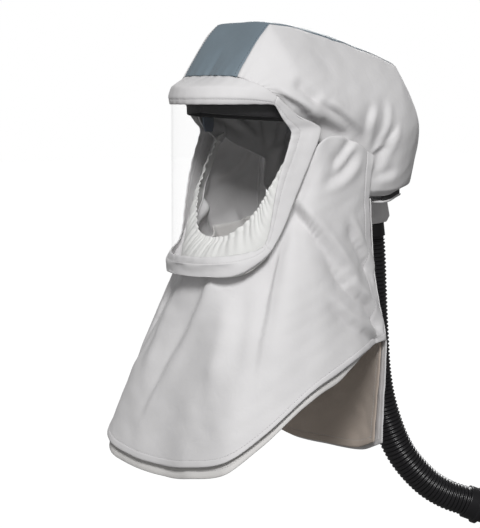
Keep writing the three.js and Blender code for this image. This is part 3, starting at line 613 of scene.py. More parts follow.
def swept(name, path, radii, sides, material, bore=None):
    """Round tube along a path with a radius at each point; bore opens its far end to that radius."""
    path = np.asarray(path, float)
    ways = unit(np.gradient(path, axis=0))
    side = unit(np.cross(ways[0], (1.0, 0, 0)))
    rings = []
    for centre, way, radius in zip(path, ways, radii):
        side = unit(side - way * (side @ way))
        rings.append(ring(centre, side, np.cross(way, side), radius, sides))
    if bore:
        up = np.cross(ways[-1], side)
        for depth in (0, BORE_DEPTH):
            rings.append(ring(path[-1] - ways[-1] * depth, side, up, bore, sides))
    starts = [k * sides for k in range(len(rings))]
    return make_object(name, np.concatenate(rings), tube_faces(starts, sides), material)


# Materials

TONE_PLACES = (0.32, 0.68)
CLOTH_TONE_SCALE = 22
CREASE_DEPTH = 0.0022
WEAVE_DEPTH = 0.00025
GRAIN_DEPTH = 0.0003
PLASTIC_TONE_SCALE = 40
# Length of one wave of a wave texture at scale 1
WAVE_LENGTH = 0.314


def set_values(node, values):
    for socket, value in values.items():
        node.inputs[socket].default_value = value


def add_node(nodes, kind, values):
    node = nodes.new(kind)
    set_values(node, values)
    return node


def new_material(name):
    material = bpy.data.materials.new(name)
    material.use_nodes = True
    nodes = material.node_tree.nodes
    return material, nodes, material.node_tree.links, nodes["Principled BSDF"]


def varied_colour(nodes, links, shader, coordinates, colour, spread, scale):
    """Base colour that drifts a little over the surface."""
    noise = add_node(nodes, "ShaderNodeTexNoise", {"Scale": scale, "Detail": 4})
    ramp = nodes.new("ShaderNodeValToRGB")
    tones = ([c * (1 - spread) for c in colour], [min(c * (1 + spread), 1) for c in colour])
    for k in (0, 1):
        ramp.color_ramp.elements[k].position = TONE_PLACES[k]
        ramp.color_ramp.elements[k].color = (*tones[k], 1)
    links.new(coordinates, noise.inputs["Vector"])
    links.new(noise.outputs["Fac"], ramp.inputs["Fac"])
    links.new(ramp.outputs["Color"], shader.inputs["Base Color"])


def bump_chain(nodes, links, shader, heights):
    """Bumps laid one over another: each is a height output, a strength and a depth in metres."""
    normal = None
    for height, strength, depth in heights:
        bump = add_node(nodes, "ShaderNodeBump", {"Strength": strength, "Distance": depth})
        links.new(height, bump.inputs["Height"])
        if normal:
            links.new(normal, bump.inputs["Normal"])
        normal = bump.outputs["Normal"]
    links.new(normal, shader.inputs["Normal"])


def cloth_material(name, colour, roughness, weave=0.0011, weave_strength=0.22, crease=0.25, spread=0.025):
    """Woven cloth with a soft coating: crossing threads, faint creases and an uneven tone."""
    material, nodes, links, shader = new_material(name)
    set_values(shader, {"Roughness": roughness, "Specular IOR Level": 0.3, "Sheen Weight": 0.12,
                        "Sheen Roughness": 0.5})
    place = nodes.new("ShaderNodeTexCoord")
    varied_colour(nodes, links, shader, place.outputs["Object"], colour, spread, CLOTH_TONE_SCALE)
    cross = nodes.new("ShaderNodeMath")
    cross.operation = "MULTIPLY"
    for k, direction in enumerate(("X", "Y")):
        wave = add_node(nodes, "ShaderNodeTexWave", {"Scale": WAVE_LENGTH / weave, "Distortion": 0.6})
        wave.bands_direction = direction
        links.new(place.outputs["UV"], wave.inputs["Vector"])
        links.new(wave.outputs["Fac"], cross.inputs[k])
    creases = add_node(nodes, "ShaderNodeTexNoise", {"Scale": 55, "Detail": 5, "Distortion": 0.8})
    links.new(place.outputs["Object"], creases.inputs["Vector"])
    bump_chain(nodes, links, shader, [
        (creases.outputs["Fac"], crease, CREASE_DEPTH),
        (cross.outputs["Value"], weave_strength, WEAVE_DEPTH),
    ])
    return material


def plastic_material(name, colour, roughness, grain=900, grain_strength=0.15, spread=0.06):
    """Moulded plastic or rubber with a fine grain."""
    material, nodes, links, shader = new_material(name)
    set_values(shader, {"Roughness": roughness})
    place = nodes.new("ShaderNodeTexCoord")
    varied_colour(nodes, links, shader, place.outputs["Object"], colour, spread, PLASTIC_TONE_SCALE)
    grit = add_node(nodes, "ShaderNodeTexNoise", {"Scale": grain, "Detail": 3})
    links.new(place.outputs["Object"], grit.inputs["Vector"])
    bump_chain(nodes, links, shader, [(grit.outputs["Fac"], grain_strength, GRAIN_DEPTH)])
    return material


def visor_material():
    """Clear sheet that shows where it is seen at a slant, with faint streaks in its gloss."""
    material, nodes, links, shader = new_material("visor_clear")
    set_values(shader, {"Base Color": (0.55, 0.57, 0.58, 1), "IOR": 1.49})
    place = nodes.new("ShaderNodeTexCoord")
    streaks = add_node(nodes, "ShaderNodeTexNoise", {"Scale": 9, "Detail": 3})
    gloss = add_node(nodes, "ShaderNodeMapRange", {"To Min": 0.02, "To Max": 0.07})
    links.new(place.outputs["Object"], streaks.inputs["Vector"])
    links.new(streaks.outputs["Fac"], gloss.inputs["Value"])
    links.new(gloss.outputs["Result"], shader.inputs["Roughness"])
    slant = add_node(nodes, "ShaderNodeLayerWeight", {"Blend": 0.12})
    steep = add_node(nodes, "ShaderNodeMath", {1: 3.0})
    steep.operation = "POWER"
    clear = add_node(nodes, "ShaderNodeMapRange", {"To Min": 0.008, "To Max": 0.7})
    links.new(slant.outputs["Facing"], steep.inputs[0])
    links.new(steep.outputs["Value"], clear.inputs["Value"])
    links.new(clear.outputs["Result"], shader.inputs["Alpha"])
    return material


fabric = cloth_material("fabric_pale_grey", (0.70, 0.69, 0.695), 0.62)
strip_cloth = cloth_material("fabric_slate", (0.165, 0.21, 0.245), 0.6, spread=0.05)
lining_cloth = cloth_material("fabric_lining", (0.72, 0.705, 0.69), 0.78, weave=0.0013, weave_strength=0.35)
inside_cloth = cloth_material("fabric_taupe", (0.50, 0.425, 0.365), 0.85, weave=0.0014, weave_strength=0.5,
                              spread=0.06)
seal_cloth = cloth_material("seal_white", (0.78, 0.78, 0.765), 0.75, weave=0.0009, crease=0.35)
# Near-black cloth of the band under the crown's rim: painted shade of the gap there.
painted_gap_shade = cloth_material("painted_gap_shade_black", (0.012, 0.012, 0.013), 0.7, weave=0.0016, weave_strength=0.6)
thread = cloth_material("thread_grey", (0.52, 0.51, 0.515), 0.6, crease=0.05)
dark_thread = cloth_material("thread_slate", (0.08, 0.1, 0.12), 0.6, crease=0.05)
clear_sheet = visor_material()
charcoal = plastic_material("headband_charcoal", (0.014, 0.0125, 0.0145), 0.42)
blue_grey = plastic_material("tab_blue_grey", (0.13, 0.155, 0.2), 0.35)
rubber = plastic_material("hose_rubber", (0.006, 0.0055, 0.007), 0.32, grain=500, spread=0.25)

# Camera at the photograph's viewing angle

CAMERA_AZIMUTH = 50.642
CAMERA_ELEVATION = 4.886
CAMERA_DISTANCE = 2.2
CAMERA_LENS = 134.3
CAMERA_SENSOR = 36
CAMERA_REACH = 100
CAMERA_AIM = (0.10596, -0.12236, -0.17773)


def add_camera():
    data = bpy.data.cameras.new("camera")
    data.lens = CAMERA_LENS
    data.sensor_width = CAMERA_SENSOR
    data.clip_end = CAMERA_REACH
    camera = bpy.data.objects.new("camera", data)
    bpy.context.collection.objects.link(camera)
    turn, rise = math.radians(CAMERA_AZIMUTH), math.radians(CAMERA_ELEVATION)
    back = Vector((math.sin(turn) * math.cos(rise), -math.cos(turn) * math.cos(rise), math.sin(rise)))
    camera.location = Vector(CAMERA_AIM) + back * CAMERA_DISTANCE
    camera.rotation_euler = (-back).to_track_quat("-Z", "Y").to_euler()
    bpy.context.scene.camera = camera


add_camera()

# Hose with its cuff, connector and sleeve

HOSE_SAMPLES = 6
HOSE_CURVE_STEPS = 800
HOSE_SIDES = 32
CUFF_SIDES = 40
RIB_SHAPE = 0.6
PROFILE_STEP = 1.2
SHOULDER_SHIFT = 0.05
SLEEVE_SEAM = 0.007
SLEEVE_OUTWARD = -1
SLEEVE_SAMPLES = 97
SLEEVE_WAVES = [(0.55, 13, 2), (0.35, 7, -3)]
SLEEVE_WAVE_TOP = 0.3


def hose_path(step):
    fine = smooth_line([HOSE_TOP] + HOSE_RUN, HOSE_CURVE_STEPS)
    run = run_lengths(fine)
    places = np.linspace(0, run[-1], int(round(run[-1] / step)) + 1)
    return on_line(places, run, fine), run[-1]


def straight(top, way, profile):
    """Path and radii of a round piece from its profile of (down, radius)."""
    downs, radii = [], []
    for (d0, r0), (d1, r1) in zip(profile[:-1], profile[1:]):
        steps = max(int((d1 - d0) / PROFILE_STEP), 1)
        for k in range(steps):
            downs.append(d0 + (d1 - d0) * k / steps + (SHOULDER_SHIFT if d0 == d1 else 0))
            radii.append(r0 + (r1 - r0) * k / steps)
    downs.append(profile[-1][0])
    radii.append(profile[-1][1])
    return np.asarray(top) + np.outer(downs, way), radii


def add_hose():
    """Hose, its cuff above and its connector below; gives back the way the sleeve runs."""
    path, length = hose_path(HOSE_PITCH / HOSE_SAMPLES)
    place = np.linspace(0, length, len(path))
    wave = 0.5 + 0.5 * np.cos(2 * math.pi * place / HOSE_PITCH)
    radii = HOSE_DIAMETER / 2 - HOSE_RIB * (1 - wave ** RIB_SHAPE)
    hose = swept("breathing_hose_corrugated", path, radii, HOSE_SIDES, rubber)
    dress(hose, "breathing_hose")
    start, finish = unit(path[1] - path[0]), unit(path[-1] - path[-2])
    cuff_top = path[0] - start * (CUFF_PROFILE[-1][0] + SEAM_GAP)
    cuff = swept("hose_cuff_smooth", *straight(cuff_top, start, CUFF_PROFILE), CUFF_SIDES, rubber)
    dress(cuff, "hose_cuff")
    plug_line = straight(path[-1] + finish * SEAM_GAP, finish, CONNECTOR_PROFILE)
    plug = swept("hose_connector_plug", *plug_line, CUFF_SIDES, rubber, CONNECTOR_BORE)
    dress(plug, "hose_connector")
    return unit(cuff_top - np.array(SLEEVE_TOP, float))


def add_sleeve(way):
    """Cloth sleeve round the hose's top, gathered at its foot, with its seam towards the flap."""
    path, radii = straight(SLEEVE_TOP, way, SLEEVE_PROFILE)
    depth = SLEEVE_PROFILE[-1][0]
    share = np.linspace(0, 1, len(path))
    turns = np.linspace(SLEEVE_SEAM, 2 * math.pi - SLEEVE_SEAM, SLEEVE_SAMPLES)
    side = unit(np.cross(way, (1.0, 0, 0)))
    spokes = np.outer(np.cos(turns), side) + np.outer(np.sin(turns), np.cross(way, side))
    turn, down = np.meshgrid(turns, share, indexing="ij")
    wave = sum(height * np.sin(count * turn + drift * down) for height, count, drift in SLEEVE_WAVES)
    reach = np.array(radii)[None] + wave * (SLEEVE_WAVE_TOP + (1 - SLEEVE_WAVE_TOP) * down)
    grid = path[None] + spokes[:, None] * reach[..., None]
    girth = 2 * math.pi * max(radii)
    cloth = Cloth(turns / (2 * math.pi) * girth, share * depth, grid, SLEEVE_OUTWARD)
    add_sheet(cloth, "hose_sleeve", fabric, flat=(girth, depth))


add_sleeve(add_hose())

# Frame round the window

STATION_PLACE = {row["at"]: i for i, row in enumerate(FRAME_STATIONS)}
LAST_STATION = len(FRAME_STATIONS) - 1
WINDOW_HEM = 5.5
FRAME_END_FADE = 5
FRAME_STEPS = (2.6, 1.9)


def round_visor(turn, radius, z):
    """Points at a turn, in radians, and a distance from the visor's upright axis."""
    return np.stack([radius * np.sin(turn), VISOR_CENTRE_Y - radius * np.cos(turn), z], axis=-1)


def unrolled(points):
    """Points laid flat: along the visor's arc, out from its axis, and up."""
    x, y = points[..., 0], VISOR_CENTRE_Y - points[..., 1]
    return np.stack([VISOR_RADIUS * np.arctan2(x, y), np.hypot(x, y), points[..., 2]], axis=-1)


def frame_net():
    rows = []
    for row in FRAME_STATIONS:
        window = round_visor(np.radians(row["angle"]), WINDOW_RADIUS, row["z"])
        rows.append(unrolled(np.array([window, row["middle"], row["edge"], row["end"]], float)))
    left = np.array(rows)
    right = mirrored(left[-2:0:-1])
    ease = [row["ease"] for row in FRAME_STATIONS]
    eases = ease + ease[-2:0:-1] + ease[:FRAME_WRAP]
    return Net(np.concatenate([left, right, left[:FRAME_WRAP]]), eases, FRAME_COLUMN_EASE)


window_frame = frame_net()
frame_width = window_frame.across[-1]


def left_place(name):
    return window_frame.along[STATION_PLACE[name]]


def right_place(name):
    return window_frame.along[2 * LAST_STATION - STATION_PLACE[name]]


def wrap_place(name):
    """The left side's place, met again at the end of the run round the window."""
    return window_frame.along[2 * LAST_STATION + STATION_PLACE[name]]


def frame_surface(a, b):
    flat = window_frame.grid(a, b)
    return round_visor(flat[..., 0] / VISOR_RADIUS, flat[..., 1], flat[..., 2])


FRAME_PIECES = [
    dict(node="brow_band", start=right_place("brow end"), end=wrap_place("brow end")),
    dict(node="cheek_panel_left", start=left_place("brow end"), end=left_place("jaw")),
    dict(node="cheek_panel_right", start=right_place("jaw"), end=right_place("brow end")),
    dict(node="chin_pocket", start=left_place("jaw"), end=right_place("jaw")),
]


def add_frame():
    lines = []
    for row in FRAME_PIECES:
        a = ticks(row["start"] + SEAM_GAP, row["end"] - SEAM_GAP, FRAME_STEPS[0])
        b = ticks(0, frame_width, FRAME_STEPS[1], [WINDOW_HEM])
        grid = frame_surface(a, b)
        place, depth = np.meshgrid(a, b, indexing="ij")
        lift = crumple(grid, height=0.35) + fold_lift(FRAME_FOLDS, grid)
        lift += pucker(place, depth, length=15, height=0.3)
        lift += pucker(place, np.abs(frame_width - depth), length=19, height=0.35)
        lift -= bell(depth - WINDOW_HEM, height=0.5, width=0.9)
        lift *= smooth(np.minimum(place - a[0], a[-1] - place), 0, FRAME_END_FADE)
        cloth = Cloth(a, b, grid, 1, lift)
        add_sheet(cloth, row["node"], fabric, flat=(a[-1] - a[0], frame_width))
        lines.append(cloth.row(WINDOW_HEM))
    stitch_row("window_stitches", lines, thread)


add_frame()

# Visor, tucked under the frame by its margin

VISOR_SAMPLES = (97, 49)
VISOR_MAP = (100, 200)


def add_visor():
    station = {row["at"]: row for row in FRAME_STATIONS}
    turn = math.degrees(VISOR_MARGIN / VISOR_RADIUS)
    top = station["brow centre"]["z"] + VISOR_MARGIN
    foot = station["chin centre"]["z"] - VISOR_MARGIN
    sides = [
        (foot, station["jaw"]["angle"]),
        (station["jaw"]["z"], station["jaw"]["angle"] + VISOR_JAW_TURN),
        (station["cheek"]["z"], station["cheek"]["angle"] + turn),
        (station["chamfer foot"]["z"] + VISOR_CORNER_RISE, station["chamfer foot"]["angle"] + turn),
        (top, station["brow end"]["angle"]),
    ]
    rise = station["jaw"]["z"] - station["chin centre"]["z"] - VISOR_FOOT_SLACK
    a, b = np.linspace(-1, 1, VISOR_SAMPLES[0]), np.linspace(0, 1, VISOR_SAMPLES[1])
    across, up = np.meshgrid(a, b, indexing="ij")
    low = foot + rise * across ** 2
    z = low + (top - low) * up
    half = np.interp(z, [s[0] for s in sides], [s[1] for s in sides])
    grid = round_visor(np.radians(across * half), VISOR_RADIUS, z)
    sheet = Cloth(a * VISOR_MAP[0], b * VISOR_MAP[1], grid, 1)
    dress(sheet.build("visor_clear_sheet", VISOR_SHEET, clear_sheet), "visor")


add_visor()

# Crown

crown = Net(both_sides(points_of(CROWN_SECTIONS, CROWN_COLUMNS)), [row["ease"] for row in CROWN_SECTIONS],
            CROWN_COLUMN_EASE[:0:-1] + CROWN_COLUMN_EASE)
soft_crown = Net(crown.points, column_ease=crown.column_ease)
CROWN_MIDDLE = len(CROWN_COLUMNS) - 1
RIDGE_FADE = 12
crown_length = crown.along[-1]
section_at = dict(zip([row["at"] for row in CROWN_SECTIONS], crown.along))
crown_centre = crown.across[CROWN_MIDDLE]


def crown_column(column):
    return np.interp(CROWN_MIDDLE + column, np.arange(len(crown.across)), crown.across) - crown_centre


def brow_edge(b):
    """Where the foot of the crown meets the brow band, tucked behind it beside the strip."""
    out = b - crown_centre
    places = [crown_column(column) for _, column in BROW_MATCHES]
    reach = np.minimum(np.abs(out), places[-1])
    along = np.interp(reach, places, [left_place(name) for name, _ in BROW_MATCHES])
    tuck = BROW_TUCK * smooth(reach, places[1], places[2])
    edge = np.array([frame_width - 1, frame_width])
    side = []
    for place, depth in zip(along, tuck):
        near = frame_surface(np.array([place - 1, place, place + 1]), edge)
        n = np.cross(near[2, 1] - near[0, 1], near[1, 1] - near[1, 0])
        side.append(near[1, 1] - unit(n) * depth)
    side = np.array(side)
    side[:, 0] *= np.where(out < 0, -1, 1)
    return side


def crown_surface(a, b):
    """Crown with its ridge softened beside the strip and its foot drawn to the brow band."""
    beside = smooth(np.abs(b - crown_centre) - crown_column(STRIP_EDGE_COLUMN), 0, RIDGE_FADE)
    ahead = 1 - smooth(a, section_at["roof"], section_at["roof end"])
    soft = beside[None, :, None] * ahead[:, None, None]
    grid = crown.grid(a, b) * (1 - soft) + soft_crown.grid(a, b) * soft
    pull = brow_edge(b) - crown.grid(np.array([0.0]), b)[0]
    return grid + smooth(1 - a / BROW_REACH, 0, 1)[:, None, None] * pull[None]


strip_end = section_at["roof end"] + STRIP_END * (section_at["back"] - section_at["roof end"])
strip_right = crown.across[CROWN_MIDDLE - STRIP_EDGE_COLUMN]
strip_left = crown.across[CROWN_MIDDLE + STRIP_EDGE_COLUMN]
CROWN_PIECES = [
    dict(node="crown_strip", along=(CROWN_START, strip_end - SEAM_GAP), slot="strip",
         across=(strip_right + SEAM_GAP, strip_left - SEAM_GAP)),
    dict(node="crown_back", along=(strip_end + SEAM_GAP, crown_length), slot="fabric",
         across=(strip_right + SEAM_GAP, strip_left - SEAM_GAP)),
    dict(node="crown_left", along=(CROWN_START, crown_length), slot="fabric",
         across=(strip_left + SEAM_GAP, crown.across[-1] - HEM_TRIM)),
    dict(node="crown_right", along=(CROWN_START, crown_length), slot="fabric",
         across=(HEM_TRIM, strip_right - SEAM_GAP)),
]
SEAM_STITCH = 2.4
STRIP_END_REACH = 52
HEM_FLAT = (3, 15)
HEM_TUCK = 10
HEM_TUCK_REACH = 26
HEM_DRAW = 9
HEM_DRAW_IN = (section_at["front slope"] + 12, section_at["ridge"] + 22)
HEM_DRAW_OUT = (section_at["roof"] - 20, section_at["roof"] + 30)
RIGHT_TUCK = 20
RIGHT_TUCK_IN = (6, 28)
RIGHT_TUCK_OUT = (section_at["ridge"] + 40, section_at["ridge"] + 56)
RIGHT_DRAW = 5


def tucked_hem(node, a, b, grid):
    """Side panel whose hem is carried on behind the cape; the right one goes straight down."""
    is_left = node == "crown_left"
    last, before = (-1, -6) if is_left else (0, 5)
    way = unit(grid[:, last] - grid[:, before])
    near = 1 - smooth(np.abs(b - b[last]), 0, HEM_TUCK_REACH)
    reach = HEM_TUCK * smooth(a, section_at["front slope"], section_at["ridge"])
    drawn = HEM_DRAW * smooth(a, *HEM_DRAW_IN) * (1 - smooth(a, *HEM_DRAW_OUT))
    if not is_left:
        ahead = RIGHT_TUCK * smooth(a, *RIGHT_TUCK_IN) * (1 - smooth(a, *RIGHT_TUCK_OUT))
        reach = np.maximum(reach, ahead)
        way = unit(way * np.array([0.0, 1, 1]))
        drawn = RIGHT_DRAW * ahead / ahead.max()
    grid = grid + way[:, None] * (reach[:, None] * near[None])[..., None]
    grid[..., 0] -= np.sign(grid[..., 0]) * drawn[:, None] * near[None]
    return grid


def crown_lift(grid, place, depth):
    """Folds, seams and ripples of the crown; nothing stands up along its hem."""
    seam = np.minimum(np.abs(depth - strip_left), np.abs(depth - strip_right))
    lift = fold_lift(CROWN_FOLDS, grid) + crumple(grid, height=0.55)
    lift += pucker(place, seam, length=31, height=0.3) - bell(seam, height=0.9, width=2.2)
    lift += pucker(depth, np.abs(place - CROWN_START), length=13, height=0.5)
    over_strip = np.abs(depth - crown_centre) < STRIP_END_REACH
    lift -= bell(place - strip_end, height=0.6, width=2.2) * over_strip
    hem = np.minimum(depth - crown.across[0], crown.across[-1] - depth) - HEM_TRIM
    return np.where(lift > 0, lift * smooth(hem, *HEM_FLAT), lift)


def add_crown():
    slate_lines, pale_lines = [], []
    for row in CROWN_PIECES:
        node = row["node"]
        (a0, a1), (b0, b1) = row["along"], row["across"]
        marks = [b0 + SEAM_STITCH, b1 - SEAM_STITCH]
        a, b = ticks(a0, a1, FINE), ticks(b0, b1, FINE, marks)
        grid = crown_surface(a, b)
        if node in ("crown_left", "crown_right"):
            grid = tucked_hem(node, a, b, grid)
        cloth = Cloth(a, b, grid, -1, crown_lift(grid, *np.meshgrid(a, b, indexing="ij")))
        material = strip_cloth if row["slot"] == "strip" else fabric
        add_sheet(cloth, node, material, flat=(a1 - a0, b1 - b0))
        if node == "crown_strip":
            slate_lines = [cloth.row(mark) for mark in marks] + [cloth.column(a1 - SEAM_STITCH)]
        elif node == "crown_left":
            pale_lines.append(cloth.row(marks[0]))
        elif node == "crown_right":
            pale_lines.append(cloth.row(marks[1]))
    stitch_row("strip_stitches", slate_lines, dark_thread)
    stitch_row("crown_stitches", pale_lines, thread)


add_crown()

# Cape: bib and flap, each with its lining


def bib_net():
    rows = points_of(BIB_STATIONS, BIB_COLUMNS)
    return Net(np.concatenate([mirrored(rows[:0:-1]), rows]))


bib = bib_net()
bib_length, bib_depth = bib.along[-1], bib.across[-1]
BIB_STEP = FINE + 0.2
LINING_STEP = FINE + 1
LINING_SAMPLES = 90
LINING_SHORT = bib_length / 42
LINING_LOOSE = 0.6
LINING_CRUMPLE_SHIFT = 31
SEAM_LINE = 14
CAPE_TUCK = 4.5
CAPE_TUCK_REACH = 22
CAPE_TUCK_WAY = (0, -1.0, 0.1)
CAPE_HOLD = (2, 15)
TUCK_STATIONS = ("beside corner", "side")
TUCK_IN = (-20, 10)
TUCK_OUT = (-12, 8)


def behind_cheek(place):
    """1 along the stretch of the bib's top edge that lies behind a cheek panel, 0 elsewhere."""
    names = [row["at"] for row in BIB_STATIONS]
    middle = bib_length / 2
    first, last = [bib.along[len(names) - 1 + names.index(name)] - middle for name in TUCK_STATIONS]
    out = np.abs(place - middle)
    begun = smooth(out, first + TUCK_IN[0], first + TUCK_IN[1])
    return begun * (1 - smooth(out, last + TUCK_OUT[0], last + TUCK_OUT[1]))


def tucked_top(place, depth, grid):
    """Bib whose top edge is carried on behind the free edge of the cheek panels."""
    pull = CAPE_TUCK * behind_cheek(place) * (1 - smooth(depth, 0, CAPE_TUCK_REACH))
    return grid + pull[..., None] * np.array(CAPE_TUCK_WAY)


def bib_lift(grid, place, depth):
    held = behind_cheek(place) * (1 - smooth(depth, *CAPE_HOLD))
    lift = fold_lift(CAPE_FOLDS, grid) * (1 - held) + crumple(grid, height=0.6)
    seam = np.minimum(place, bib_length - place)
    lift += pucker(depth, seam, length=46, height=0.5) - bell(seam - SEAM_LINE, height=0.7, width=1.0)
    return lift + pucker(place, depth, length=38, height=0.8)


def lining_gap(share, top):
    return CLOTH + top + (LINING_GAP_HEM - top) * (share - LINING_START) / (1 - LINING_START)


def add_bib():
    hem_line = bib_depth - HEM_WIDTH
    a = ticks(0, bib_length, BIB_STEP, [SEAM_LINE, bib_length - SEAM_LINE])
    b = ticks(0, bib_depth, BIB_STEP, [hem_line])
    place, depth = np.meshgrid(a, b, indexing="ij")
    grid = tucked_top(place, depth, bib.grid(a, b))
    cloth = Cloth(a, b, grid, -1, bib_lift(grid, place, depth) + hem_lift(bib_depth - depth))
    add_sheet(cloth, "cape_front", fabric, flat=(bib_length, bib_depth))
    lines = [cloth.row(hem_line), cloth.column(SEAM_LINE), cloth.column(bib_length - SEAM_LINE)]
    stitch_row("cape_stitches", lines, thread)


def add_bib_lining():
    """Inner layer, inside the bib's own folds; it hangs lower than the bib by each station's drop."""
    hem_line = bib_depth - HEM_WIDTH
    drops = np.array([row["drop"] for row in BIB_STATIONS], float)
    drops = np.concatenate([drops[:0:-1], drops])[:, None]
    a = ticks(LINING_SHORT, bib_length - LINING_SHORT, LINING_STEP)
    b = ticks(LINING_START * bib_depth, bib_depth, LINING_STEP, [hem_line])
    depth = np.meshgrid(a, b, indexing="ij")[1]
    share = np.clip(depth / bib_depth, LINING_START, 1)
    drop = LINING_DROP * curve(drops, bib.along, np.ones(len(drops)), a)
    fall = depth + drop * (share - LINING_START) / (1 - LINING_START)
    inside = np.minimum(fall, bib_depth - LINING_HEM_INSIDE)
    full = np.linspace(LINING_START * bib_depth, bib_depth + LINING_DROP, LINING_SAMPLES)
    base = bib.grid(a, full)
    base = Cloth(a, full, base, -1, bib_lift(base, *np.meshgrid(a, full, indexing="ij")))
    grid = np.array([on_line(fall[i], full, base.grid[i]) for i in range(len(a))])
    normals = np.array([on_line(inside[i], full, base.normals[i]) for i in range(len(a))])
    grid -= normals * lining_gap(share, BIB_LINING_TOP)[..., None]
    lift = crumple(grid + LINING_CRUMPLE_SHIFT, height=0.5) * smooth(share, LINING_LOOSE, 1)
    lift = hem_lift(bib_depth - depth) + lift
    cloth = Cloth(a, b, grid, -1, lift)
    flat = (a[-1] - a[0], b[-1] - b[0] + LINING_DROP)
    add_sheet(cloth, "cape_front_lining", lining_cloth, flat=flat)
    stitch_row("lining_stitches", [cloth.row(hem_line)], thread)


add_bib()
add_bib_lining()

FLAP_LOOSE = 0.35
FLAP_LINING_SAG = 0.7
FLAP_LINING_HEM = 0.8
SWAY = 2.2
SWAY_LENGTHS = (34.0, 90.0)
SWAY_EDGE = 25


def flap_layer(flap, start, end, b0, b1):
    """A layer of the flap: sample places, surface, share of the depth, distance from its edges and sway."""
    a = ticks(start, end, FINE, [end - HEM_WIDTH])
    b = ticks(b0, b1, FINE, [b0 + HEM_WIDTH, b1 - HEM_WIDTH])
    place, across = np.meshgrid(a, b, indexing="ij")
    edge = np.minimum(np.minimum(across - b0, b1 - across), end - place)
    down = place / flap.along[-1]
    sway = SWAY * np.sin(across / SWAY_LENGTHS[0] + place / SWAY_LENGTHS[1])
    sway = sway * smooth(down, FLAP_LOOSE, 1) * smooth(edge, 0, SWAY_EDGE)
    return a, b, flap.grid(a, b), down, edge, sway


def add_flap(flap):
    depth, width = flap.along[-1], flap.across[-1]
    a, b, grid, _, edge, sway = flap_layer(flap, 0, depth, 0, width)
    cloth = Cloth(a, b, grid, -1, crumple(grid, height=0.7) + hem_lift(edge) + sway)
    add_sheet(cloth, "cape_back", fabric, flat=(width, depth))
    lines = [cloth.row(HEM_WIDTH), cloth.row(width - HEM_WIDTH), cloth.column(depth - HEM_WIDTH)]
    stitch_row("flap_stitches", lines, thread)


def add_flap_lining(flap):
    start, end = LINING_START * flap.along[-1], flap.along[-1] - FLAP_LINING_SHORT
    b0, b1 = LINING_GAP_HEM, flap.across[-1] - LINING_GAP_HEM
    a, b, grid, down, edge, sway = flap_layer(flap, start, end, b0, b1)
    gap = lining_gap(np.clip(down, LINING_START, 1), FLAP_LINING_TOP)
    gap += FLAP_LINING_SAG * smooth(down, FLAP_LOOSE, 1)
    outer = Cloth(a, b, grid, -1, sway - gap + crumple(grid, height=0.7))
    cloth = Cloth(a, b, outer.grid, -1, -hem_lift(edge) * FLAP_LINING_HEM)
    flat = (b1 - b0, end - start)
    add_sheet(cloth, "cape_back_lining", inside_cloth, flat=flat)
    lines = [cloth.column(end - HEM_WIDTH), cloth.row(b0 + HEM_WIDTH), cloth.row(b1 - HEM_WIDTH)]
    lines = [(points - normals * CLOTH, -normals) for points, normals in lines]
    stitch_row("flap_inside_stitches", lines, thread)


back_flap = Net(both_sides(points_of(FLAP_HEIGHTS, FLAP_COLUMNS)))
add_flap(back_flap)
add_flap_lining(back_flap)

# Underside of the crown

BAND_SAMPLES = 5
FLOOR_SAMPLES = 27
FLOOR_MAP = 80


def add_duct():
    """Near-black band along the crown's foot, painted shade where the gap under the crown's rim looks dark,
    and the panel below it that closes the crown.
    """
    widest_right, widest_left = crown.across[1], crown.across[-2]
    a = ticks(widest_right - RIM_REACH, widest_left + RIM_REACH, FINE)
    rim = crown.grid(np.array([crown_length]), a)[0]
    inward = unit(np.stack([-rim[:, 0], DUCT_CENTRE_Y - rim[:, 1], 0 * rim[:, 0]], axis=1))
    b = np.linspace(DUCT_BAND_TUCK, DUCT_BAND_HEIGHT, BAND_SAMPLES)
    grid = np.repeat((rim + inward * DUCT_BAND_INSET)[:, None], len(b), axis=1)
    grid[..., 2] -= b
    dress(Cloth(a, b, grid, 1).build("duct_band_painted_shade", CLOTH, painted_gap_shade), "duct_band")
    share = np.linspace(0, 1, FLOOR_SAMPLES)
    lip = rim + inward * FLOOR_INSET
    front = np.stack([lip[:, 0] * FLOOR_TAPER, np.full(len(a), FLOOR_FRONT_Y), lip[:, 2]], axis=1)
    grid = lip[:, None] + (front - lip)[:, None] * share[None, :, None]
    grid[..., 2] -= DUCT_BAND_HEIGHT + FLOOR_GAP + CLOTH
    panel = Cloth(a, share * FLOOR_MAP, grid, 1, crumple(grid, height=0.3))
    flat = np.ptp(grid[..., :2].reshape(-1, 2), axis=0)
    add_sheet(panel, "duct_floor", fabric, flat=flat,
              wall=DUCT_LIP)


add_duct()

# Face seal, gathered along its elastic edge

SEAL_STEPS = (1.5, 2.2)
SEAL_CHANNEL = 4
SEAL_WANDERS = [(0.6, 17.0), (0.4, 41.0)]
SEAL_SLACK = 1.1
SLACK_GATHERS = 3.1
SLACK_SPAN = (0.1, 0.7)


